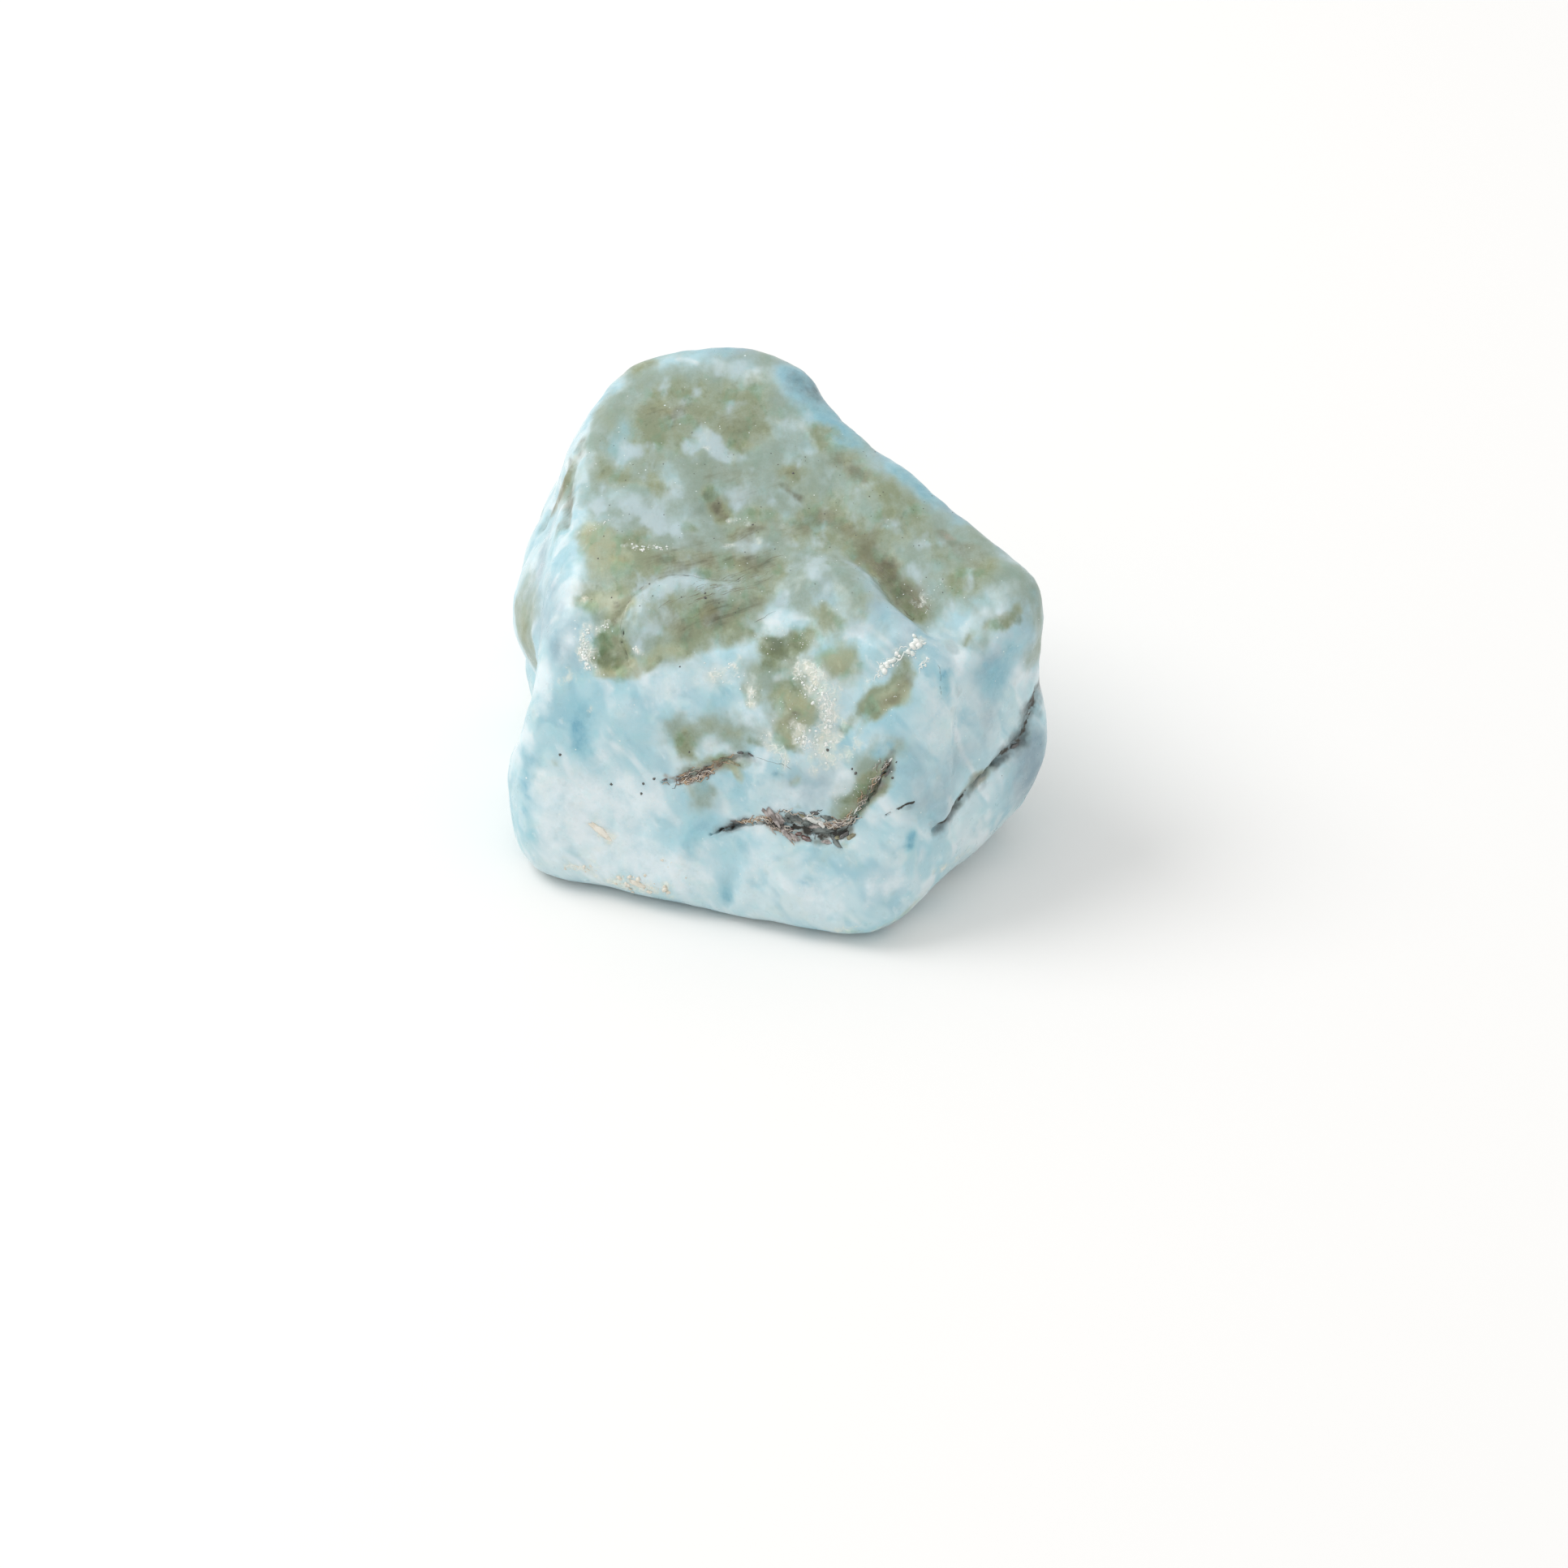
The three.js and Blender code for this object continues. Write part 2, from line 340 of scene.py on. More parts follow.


# The clouds of colour in the stone, and of painted shade: how strong, how far each spreads, and where, in
# millimetres.
CLOUDS = {}
CLOUDS["dusk_and_shade"] = [  # grey-blue in the stone; along the dome's right edge and the top's back-right edge it is painted shade, and on the right-hand side partly so
    # dome; the second and third are painted shade along its right edge
    (0.6, 1.6, (-3, 12.5, 19.8), (1, 12, 19.8)),
    (1, 1.1, (1, 10.2, 19.8), (2, 8.4, 19), (2.8, 7.2, 18.6), (4, 5.4, 18.1)),
    (0.9, 1.4, (2.6, 9.4, 19), (3.4, 7.8, 18.4)),
    # right of the top; the first is painted shade along its back-right edge
    (0.9, 1.4, (5.4, 3.4, 17.7), (8.4, 0.6, 17), (11.5, -2.6, 16)),
    (0.7, 1.6, (3.5, -2, 16.5), (8, -3.5, 16)), (0.5, 2, (3, -6.5, 16), (7, -9.8, 14.5)),
    # left
    (0.3, 2.6, (-12, 2, 14), (-13, -4, 10)), (0.5, 1.4, (-12, -5, 14), (-11.2, -8.4, 13.5)),
    (0.3, 1.2, (-13.8, -1, 12)),
    # front
    (0.5, 1.2, (-2.7, -14.5, 6.5), (0.5, -14.4, 7), (3, -14.4, 8.6)),
    (0.35, 1.3, (7.5, -14.5, 10), (8.4, -15.2, 5)),
    # right, partly painted shade
    (0.85, 2, (13.5, -8.5, 5.5)), (0.3, 2, (10, -12, 9), (12, -9.5, 10)), (0.7, 1.7, (13, -7, 13)),
    (0.6, 1, (11.8, -10, 12.3)),
    # back
    (0.4, 2, (-10, 17, 11), (-5, 17, 8)), (0.4, 1.6, (2.8, 11.4, 10), (5, 8.8, 5.6)),
    (0.35, 1.4, (10.6, 1, 8), (12.6, -1.4, 6)), (0.35, 1.6, (-13.6, 10, 10), (-14, 9.6, 5)),
    (0.3, 1.2, (-12.6, 14.2, 7)),
]
CLOUDS["sage"] = [  # a grey-green haze
    # dome
    (0.5, 1.6, (-8.6, 12, 19.3), (-4.4, 12.4, 20), (-0.4, 11.4, 19.9)),
    (0.6, 1, (-9.8, 7.4, 18.6), (-9.8, 4.4, 18)),
    # right of the top
    (0.7, 1.8, (2, -5.6, 16), (4.5, -8, 15.3)), (0.5, 1.4, (11.5, -7.5, 15)),
    # brow
    (0.4, 0.5, (5.9, -13.1, 12.4)), (0.6, 0.9, (-0.6, -11.4, 13.6), (0.4, -12, 13.2)),
    (0.6, 0.7, (5.2, -14.8, 9.6), (6, -14.6, 10.4)), (0.12, 1.4, (5, -11.5, 13.8), (3, -13.5, 11)),
    (0.6, 0.7, (-1.1, -12.1, 12.8)), (0.3, 1, (0.8, -12.3, 12.8)),
    (0.8, 0.8, (-5.2, -12.5, 10), (-2.5, -12.9, 10.6), (-0.6, -13.2, 10.6)), (0.3, 1.2, (-3.5, -11, 13)),
    # left
    (0.7, 1.3, (-13.9, -0.5, 11.3), (-13.9, -2.5, 10.8), (-13.6, -2.9, 9.3)),
    (1, 1.2, (-13.6, -2.6, 10.8)), (0.7, 1, (-11.4, 3, 16)),
    # front
    (0.2, 0.8, (0, -15.7, 4.2), (1.8, -16.3, 4.6), (3.6, -16.6, 4.9)),
    (0.7, 0.6, (3.6, -15.1, 7.4), (4.4, -15, 8.2), (5.4, -14.9, 9.3)),
    (0.2, 1.2, (3.4, -14, 10), (4.8, -14.2, 9.6)), (0.5, 0.7, (-4, -13.4, 6.6)),
    # right
    (0.8, 1.2, (13.6, -6.4, 14.6), (13.9, -6.8, 12.6)), (0.35, 1.2, (13, -5, 13.6)),
    (0.35, 0.8, (10.5, -9.4, 13.8)),
    # back
    (0.7, 1, (-8, 16.6, 13.4), (-6, 17.2, 12)), (0.6, 0.9, (1.6, 12.8, 13.4), (2.2, 12, 10.6)),
    (0.6, 0.8, (9.6, 1.4, 13.4)), (0.6, 0.8, (-13.6, 8.6, 11.4), (-14, 8.8, 9.6)),
]
CLOUDS["blue"] = [  # clear sky blue
    # dome; the first and the last, along its right edge, are partly painted shade
    (0.8, 1, (1.2, 10.1, 19.8), (2.1, 8.5, 19.2), (2.6, 7.2, 18.4), (4, 5.6, 18.1)),
    (0.6, 0.9, (-6.4, 12.6, 19.6), (-3, 12.6, 20)), (0.5, 0.7, (-8.2, 6, 18.6), (-8.6, 4.2, 18.2)),
    (0.6, 0.8, (1.1, 9.8, 19.8), (2.1, 8.2, 18.9), (2.8, 7, 18.8), (3.6, 5.5, 18.1)),
    # middle of the top
    (0.4, 0.4, (-8.2, 3.4, 18)),
    # left boss
    (0.4, 0.9, (-3.5, -10.8, 13.6), (-1, -10.6, 14)),
    # right of the top
    (0.5, 0.7, (6.4, 2.9, 17.6), (8, 1.5, 17), (9.6, -0.5, 16.4)),
    (0.6, 0.8, (6, 4.4, 17.5), (8.5, 1.5, 17)), (0.4, 0.9, (3, -8.5, 15.2)), (0.4, 0.6, (14, -6.5, 14.5)),
    # brow
    (0.7, 0.4, (6.4, -13.8, 11.8), (5.4, -14.7, 10.3)), (0.5, 0.5, (8, -13.5, 11)),
    # left
    (0.5, 0.9, (-13.2, -11, 6.9)), (0.7, 1, (-14.4, 5, 8)),
    (0.95, 0.9, (-10.6, -11, 9.8), (-10.4, -11.4, 9)), (0.7, 1.2, (-13.5, -11, 6.5)),
    (0.5, 0.9, (-13.8, -11.5, 3.5)), (0.5, 0.4, (-10.9, -6, 14)),
    # front
    (1, 0.3, (1.1, -16.7, 3.5), (2, -17.1, 3.1)), (1, 0.25, (-2.4, -15.3, 1.9), (-2.7, -15.5, 1.2)),
    (0.7, 0.9, (-4, -14, 5)), (0.5, 0.5, (-0.5, -15, 5)), (0.9, 0.4, (0.1, -14, 8.6)),
    (0.9, 0.25, (1.5, -16.5, 3.5), (2, -17, 3.5)), (0.7, 0.25, (-2.5, -15.5, 2.5), (-3, -15.5, 1.5)),
    (1, 0.3, (6.8, -16.2, 5.4), (7, -15.9, 5.9)), (0.4, 0.6, (-6, -12, 9.5)), (0.5, 0.5, (-4, -13.5, 7)),
    # right
    (0.9, 1.1, (11.8, -10, 12.3)), (0.6, 0.35, (9, -11.5, 13), (9, -12.5, 12)), (0.6, 0.4, (9, -13, 9.5)),
    (0.6, 0.9, (12.6, -10, 5.6)), (0.5, 0.7, (12.5, -8.5, 13)),
    # back
    (0.8, 1.2, (-4.6, 17, 12.6), (-3.6, 17, 8)), (0.7, 1.1, (6.4, 7.2, 9), (8, 4.6, 5.4)),
    (0.8, 1, (-12, 14.6, 10), (-11, 16, 5)), (0.7, 1, (11.6, -0.2, 11), (13.4, -3, 10)),
    (0.8, 1.1, (0.6, 14.2, 6), (-0.6, 15.2, 4)),
]
CLOUDS["teal"] = [  # the strongest blue
    # dome; the first, along its right edge, is partly painted shade
    (0.3, 0.7, (1.2, 10.1, 19.8), (2.1, 8.5, 19.2)), (0.4, 0.6, (-9, 4.6, 18.2)),
    # right of the top
    (0.5, 0.5, (6.2, 0.7, 17.2), (6.8, -1.9, 16.7)),
    # brow
    (0.8, 0.25, (6.6, -14.1, 11.4), (6.2, -14.5, 10.6)),
    # left
    (0.5, 0.6, (-13.3, -11, 6.4), (-13.5, -11.4, 4.6)),
    (0.7, 0.6, (-10.7, -11, 9.9), (-10.4, -11.5, 8.8)),
    # front
    (0.9, 0.25, (1.1, -16.7, 3.5), (2, -17.1, 3.1)), (0.55, 0.22, (-2.4, -15.3, 1.9), (-2.7, -15.5, 1.2)),
    (0.9, 0.25, (6.8, -16.2, 5.4), (7, -15.9, 5.9)), (0.5, 0.7, (-4.6, -14.4, 4)),
    (0.7, 0.25, (0.1, -14, 8.6)),
    # right
    (0.6, 0.35, (9, -11.5, 13), (9, -12.5, 12)), (0.5, 0.9, (11.6, -10.2, 12.4)),
    (0.5, 0.4, (14.2, -7.4, 7.2)),
    # back
    (0.5, 0.9, (-10.4, 16.4, 8)), (0.5, 0.8, (3.4, 10.6, 7.4), (5, 8.4, 6)), (0.5, 0.9, (12.6, -1.6, 7)),
    (0.4, 0.8, (-14, 8, 6)),
]
CLOUDS["pale"] = [  # grey-white patches of the rind
    # dome
    (0.8, 0.4, (-3.9, 6.6, 18.9), (-4, 5, 18.4)), (0.9, 0.45, (-4, 5, 18.4), (-4.9, 4.2, 18.1)),
    (0.9, 0.45, (-4, 5, 18.4), (-2.6, 3.6, 17.9)), (0.7, 0.5, (-4, 5.2, 18.4)),
    (0.6, 0.7, (-2.6, 10.6, 20)),
    # middle of the top
    (0.8, 0.6, (-2.3, 0.7, 17)), (0.7, 0.7, (0.4, 0.7, 16.8)), (0.7, 0.6, (-5.4, 1.2, 17.1)),
    (0.8, 0.7, (-9.6, -0.4, 16.6), (-7.4, -0.6, 16.8), (-6.2, -1.6, 16.4)), (0.6, 0.6, (-8, 4, 18)),
    (0.8, 0.3, (-3.5, 3.9, 17.9), (-1.8, 3.6, 17.9)), (0.6, 0.4, (-2, -2.8, 16), (0, -3, 16)),
    (0.5, 0.6, (-4.4, -2.4, 16.2)),
    # left boss
    (0.7, 0.4, (0.4, -7.2, 15.4)), (0.9, 0.6, (-6.8, -6.7, 15.6), (-5, -6.3, 15.7)),
    (0.8, 0.45, (-3.8, -6.6, 15.6), (-2.7, -6.6, 15.5)), (0.9, 0.5, (-7.5, -9.2, 14)),
    (0.6, 0.6, (-5.8, -8.2, 15)),
    # right of the top
    (0.8, 0.45, (9.4, -7.4, 15), (10.6, -8, 14.8)), (0.7, 0.5, (7.6, -3.2, 16.2)),
    (0.7, 0.7, (1.6, -4.3, 15.9), (2.3, -6.5, 16)), (0.65, 0.5, (7.2, -4.6, 15.6), (8, -5.7, 15.5)),
    (0.6, 0.5, (2.6, 2.5, 17.4)), (0.5, 0.5, (6, -1.5, 16.5)),
    (0.6, 0.5, (2.2, -5.4, 16), (4.4, -6.8, 15.6)),
    # right
    (0.7, 0.35, (9.2, -9.6, 14.2), (9.5, -11.4, 12.2)), (0.6, 0.5, (9, -12.4, 11), (8.8, -13.6, 8.6)),
]
CLOUDS["milk"] = [  # white clouds of the clear stone
    # dome
    (0.4, 0.8, (-4.4, 10.6, 19.9), (-0.4, 10, 19.8)), (0.5, 0.7, (-10.4, 6, 18.2), (-10.2, 3.4, 17.6)),
    # left boss
    (0.5, 1, (-2.4, -10.4, 13.8), (-5.2, -11, 12.9)),
    # right of the top
    (0.3, 0.8, (1.6, -4.5, 15.9), (2.6, -7, 15.8)), (0.5, 0.8, (12.5, -6.5, 15.5)),
    (0.4, 0.5, (12.5, -4, 16)),
    # brow
    (0.7, 0.5, (-1.4, -12.3, 12.2), (-0.6, -13.6, 10.6)), (0.5, 0.8, (6.5, -10.2, 14.6)),
    (0.6, 1.1, (-4.5, -11.2, 12.4), (-7.5, -11.2, 11.4)), (0.6, 1, (-2, -12, 11.8)),
    (0.6, 0.8, (5.6, -14.6, 11)), (0.8, 0.35, (0.3, -11.9, 13.4), (1.1, -12, 13.5), (1.9, -11.7, 13.5)),
    # left
    (0.7, 0.5, (-10.6, -2, 16), (-10.7, -5.5, 15)), (0.7, 0.5, (-11, -8.5, 13.3), (-12.5, -10, 10)),
    (0.6, 0.6, (-13.5, 1, 13)), (0.8, 0.5, (-12, -11.9, 6.6)),
    # front
    (0.8, 0.4, (-5.4, -14.1, 3.8), (-5.3, -14.6, 2.8)), (0.8, 0.3, (4.9, -17.4, 3.5), (4.8, -17.9, 2.8)),
    (0.9, 1.2, (-11.6, -12.2, 5.2), (-12, -12.4, 4)), (0.9, 1, (-7.6, -13.6, 3.2), (-6.7, -14.1, 2.8)),
    (0.9, 1.4, (-7.5, -13, 6), (-9.6, -12.8, 7.5), (-9.5, -13, 5)), (0.9, 0.6, (-3.4, -13, 9.4)),
    (0.6, 0.9, (0, -14.5, 7), (3.5, -14.8, 8.5)), (0.8, 1.3, (2, -17, 2.5)),
    (0.9, 1.1, (5.8, -16.7, 3.4)), (0.9, 1.2, (-4.5, -15, 2.5), (-9.5, -13.3, 2.8)),
    (0.7, 1, (-1, -15.6, 3.8)), (0.6, 1.2, (-11.8, -11.5, 6)),
    (0.8, 0.5, (-9.6, -12.6, 6.2), (-8.6, -13.2, 5)),
    # right
    (0.8, 0.35, (9.8, -10.4, 13.9), (9.7, -11.4, 12.7), (9.7, -11.8, 11.2)),
    (0.5, 0.7, (9, -9.5, 14), (9, -11, 13)), (0.4, 0.9, (10, -12, 11)),
    # back
    (0.8, 1.4, (-10.6, 16.4, 4.6), (-8, 17.4, 3.6)), (0.8, 1.1, (-0.6, 14.8, 11), (1, 13.6, 8)),
    (0.8, 1.2, (8.6, 3.2, 11.6), (10.2, 1.6, 9.6)), (0.8, 1.2, (4, 10.4, 3), (6.6, 7.8, 3.2)),
    (0.8, 1.2, (-12.8, 11.4, 12), (-12.4, 12.6, 9)), (0.7, 1.1, (-14.2, 8, 2.6), (-14.2, 11, 2)),
    (0.7, 1, (-6.6, 16.2, 15), (-4.8, 16.6, 13.8)), (0.7, 0.9, (13.4, -3.4, 4), (12.4, -0.6, 4)),
]
CLOUDS["olive"] = [  # the rind and its iron stain
    # dome
    (0.8, 0.5, (-7.7, 11.3, 19.6)), (1, 1.4, (-6.3, 6.6, 18.8), (-6.6, 4.8, 18.3)),
    (1, 1.3, (-2, 6.2, 18.7), (-2.4, 4.9, 18.2)), (0.8, 1.2, (-5.4, 8.3, 19.2), (-1.6, 8.2, 19)),
    (0.6, 0.8, (-7.6, 11.4, 19.6)), (0.5, 1.6, (-8.5, 7.6, 18.9), (-1, 8.4, 19)),
    # middle of the top
    (0.5, 0.9, (-9.5, 3.3, 17.8)), (0.8, 0.8, (-9.2, 2.2, 17.4), (-6.4, 1.4, 17.2)),
    (0.9, 0.8, (-1, -0.4, 16.7)), (1, 0.5, (-3.7, 0.8, 17), (-2.9, -0.4, 16.6)),
    (0.9, 0.8, (-2.2, -1.6, 16.4), (-1, -1.8, 16.3)), (0.7, 0.6, (-7, -2, 16.6)),
    (0.6, 0.5, (-4.5, -1.7, 16.4)),
    # left boss
    (1, 0.4, (-8.8, -8.9, 13.9), (-8.6, -8.1, 14.5), (-7.9, -7, 15.2), (-7.1, -6.2, 15.8)),
    (0.7, 1.2, (-5.5, -7.6, 15.2), (-3.4, -7.4, 15.3)),
    (1, 0.4, (-8.3, -7, 15.3), (-8.7, -8, 14.7), (-8.5, -9.2, 13.6), (-8.1, -10, 12.8)),
    (0.9, 0.5, (-3.6, -10, 14.2), (-2.5, -9.7, 14.3), (-1.2, -9.3, 14.2)),
    (1, 1.1, (-9.7, -2.6, 16.2), (-8.4, -3.2, 16.1), (-8.8, -4.6, 15.8)),
    (1, 0.8, (-9.8, -6.5, 15), (-8.3, -6.8, 15.1)), (0.9, 1, (-7, -4.8, 16), (-4.5, -4.2, 16)),
    (0.9, 0.9, (-3.5, -4.8, 16), (-0.4, -4.6, 16)),
    (1, 0.65, (-9.1, -8.8, 13.5), (-9.5, -9.4, 12.9), (-8.4, -9.9, 12.6)),
    (1, 0.5, (-7, -10.3, 13.2), (-5.4, -10.1, 13.7)), (0.7, 1.2, (-6, -8.2, 15)),
    (1, 0.9, (-4.8, -9.2, 14.5), (-3, -8.9, 14.8), (-1.8, -8.1, 15)),
    (0.9, 0.7, (-1.6, -6.2, 15.5), (-1.2, -7.2, 15.4), (-0.2, -5.6, 15.7)),
    (1, 0.6, (-5.1, -9.9, 13.8), (-3.8, -9.8, 14.2), (-2.2, -9.3, 14.5)),
    # right of the top
    (0.7, 0.8, (9.5, -5.8, 15.6)), (0.75, 0.3, (13, -7.5, 14.8), (12.6, -8.2, 14.7), (11.8, -8.8, 14.7)),
    (0.6, 0.5, (10.4, -6.4, 15.6)), (0.9, 1.1, (2.3, -0.6, 16.4), (1.4, -1.7, 16.4)),
    (0.8, 0.4, (5.8, -1, 16.7)), (0.9, 0.9, (2.5, 5.4, 18.2), (4.3, 2.8, 17.6), (7, 0, 17)),
    (0.8, 0.9, (1, 2.6, 17.4)), (0.9, 1.3, (2.4, -0.6, 16.6)), (0.7, 1.5, (4, -1.7, 16.4)),
    (0.7, 1.5, (6.8, -2, 16.5)), (0.7, 1.1, (8.5, -3.6, 16)), (0.9, 1, (11, -5.2, 16)),
    (0.8, 0.8, (9.5, -6.5, 15.5)), (0.7, 0.6, (4.6, -9, 15.1)), (0.5, 0.5, (4.6, -7.8, 15.6)),
    (1, [0.9, 0.9, 0.8, 0.45], (4.8, -3.8, 15.7), (5.8, -5, 15.4), (6.6, -6.2, 15.1), (7.6, -7.9, 14.7)),
    (0.9, 0.28, (12.7, -7.7, 15.1), (11.3, -8.8, 14.6)),
    # brow
    (0.7, 0.5, (2.2, -8.4, 15.1), (3.2, -9.6, 14.6)),
    (1, [0.3, 0.35, 0.35, 0.35, 0.2], (7, -12.2, 13.2), (6.7, -12.7, 12.7), (6.1, -13, 12.5),
     (5.4, -13.3, 12), (4.4, -13.8, 11.1)),
    (1, 0.35, (5.9, -12.9, 12.7), (5.3, -13.3, 12.1)), (0.4, 0.5, (2, -9.6, 14.6)),
    (1, 1, (0.7, -10.1, 14.1), (0.4, -10.6, 13.9)), (1, 0.55, (1.9, -9.5, 14.4)),
    (1, 1.05, (3.3, -11.3, 13.6)), (1, 0.95, (0.8, -12.8, 12.5), (1.1, -13.4, 11.7), (0.8, -13.9, 11.1)),
    (1, 0.4, (2.4, -13.7, 10.4)), (0.6, 0.6, (-1.1, -11.8, 13.1), (-1, -12.5, 12.5)),
    (0.6, 0.6, (0, -13, 12.3)),
    (1, 0.5, (6.8, -11.8, 13.8), (6.6, -12.2, 13.4), (6.2, -12.7, 13), (5.3, -12.9, 12.4)),
    (0.9, 0.45, (6.5, -12.3, 13.3), (5.9, -12.8, 12.8)),
    (0.95, 0.35, (5.3, -12.9, 12.4), (4.2, -13.3, 11.7), (3.6, -13.4, 11.2)),
    (0.7, 0.45, (-4.2, -12.5, 10.2), (-2.8, -12.8, 10.5)),
    (0.7, 0.28, (-2, -13, 10.6), (-0.6, -13.4, 10.3)),
    # left
    (0.5, 0.9, (-13.8, -1.6, 10.8)),
    (0.9, 0.4, (-11.2, 4.4, 17.6), (-11.5, 3.2, 16.9), (-11.9, 3, 15.9), (-12.6, 4.8, 13.8)),
    (0.7, 0.7, (-13.8, -1.8, 10.8), (-13.7, -2.9, 9.8)),
    (0.6, 0.25, (-11.7, -11.3, 8.6), (-11.7, -11.6, 7.6)),
    # front
    (1, 0.4, (3.6, -15.3, 6.9), (4.3, -15.3, 7.3), (4.9, -15.1, 7.9), (5.3, -15.2, 8.8)),
    (1, 0.5, (4.6, -15.1, 8), (5.4, -14.9, 9)), (0.9, 0.5, (-4.9, -12.3, 10), (-4.8, -12.5, 9)),
    (0.8, 0.4, (-3.2, -13.1, 8.8), (-2, -13.4, 9)), (0.35, 0.4, (-4.8, -13.3, 6.9), (-3.6, -13.4, 6.6)),
    (1, [0.4, 0.35, 0.35, 0.35, 0.3], (4.1, -15.2, 7.2), (4.7, -15.1, 8.1), (5.3, -15, 8.8),
     (5.8, -14.9, 9.4), (6.3, -14.7, 10)),
    (0.7, 0.55, (-4.6, -13, 7.8), (-3, -13.2, 8.6), (-2, -13.4, 9.2)), (0.7, 0.25, (1, -14.5, 8.5)),
    (0.4, 0.3, (8.2, -15.4, 3.6)),
    # right
    (0.7, 0.25, (10.6, -9, 14.4), (10.2, -9.6, 13.9)), (0.6, 0.35, (11, -12, 7)),
    # back
    (0.9, 0.6, (-8.2, 16.9, 12.8), (-7, 17.3, 11.6)), (0.7, 0.4, (-5.4, 17.2, 12.4)),
    (0.8, 0.5, (1.6, 12.8, 12.6), (2.2, 12.1, 11)), (0.8, 0.5, (9.4, 1.6, 13.6), (10.6, -0.2, 13)),
    (0.8, 0.4, (-13.6, 9, 10.8), (-13.9, 8.8, 9.8)), (0.6, 0.35, (5, 9.2, 7.4)),
]
CLOUDS["straw"] = [  # where that is yellower
    # dome
    (0.5, 0.6, (-6, 6.5, 18.8)),
    # left boss
    (0.7, 0.35, (-8.8, -8.7, 14), (-8.6, -8.1, 14.5), (-8, -7.2, 15)),
    (1, 0.4, (-9.3, -9.9, 12.4), (-8.3, -10, 12.7), (-7.5, -10.5, 12.6)),
    (0.9, 0.8, (-9.9, -2.4, 16.6), (-9.9, -3.8, 16), (-9.5, -4.6, 15.7)),
    (0.8, 0.7, (-9.2, -3, 16.3), (-8.2, -4.4, 16)),
    (0.9, 0.6, (-9.8, -6.9, 14.9), (-8.8, -7.1, 14.9), (-7.9, -7.2, 15.2)),
    (1, 0.35, (-9.5, -10.1, 12.3), (-8.1, -10.2, 12.5)),
    (0.9, 0.45, (-7, -10.1, 13.3), (-5.4, -10, 13.8)),
    # right of the top
    (0.4, 1, (4.5, 1, 17.3)),
    # brow
    (0.6, 0.5, (1.4, -13.3, 11.4)), (1, 0.35, (6.7, -12.7, 12.8), (6.2, -13, 12.5), (5.7, -13.1, 12.2)),
    (0.8, 0.6, (0.7, -13.8, 11.1), (1.2, -13.4, 11.8)), (0.7, 0.4, (6.7, -12.7, 12.7), (6.2, -13, 12.5)),
    (0.9, 0.95, (3.3, -11.3, 13.6)), (0.9, 0.75, (1.1, -13.1, 12), (0.9, -13.8, 11.1)),
    (0.6, 0.3, (6.2, -12.7, 13), (5.3, -12.9, 12.4)), (0.5, 0.6, (0.3, -12.9, 12.6)),
    (0.7, 0.3, (2.4, -13.7, 10.6)), (0.9, 0.3, (-3.6, -11.7, 13)),
    # front
    (0.6, 0.4, (3.5, -17.5, 0.8), (6, -17.4, 1.2), (8, -15.6, 2)),
    (0.8, 0.3, (-2.7, -13.2, 8.8), (-2.1, -13.5, 8.4)), (0.7, 0.25, (-2, -13.6, 8.1)),
    (0.6, 0.3, (3.7, -16.1, 5.6)),
]
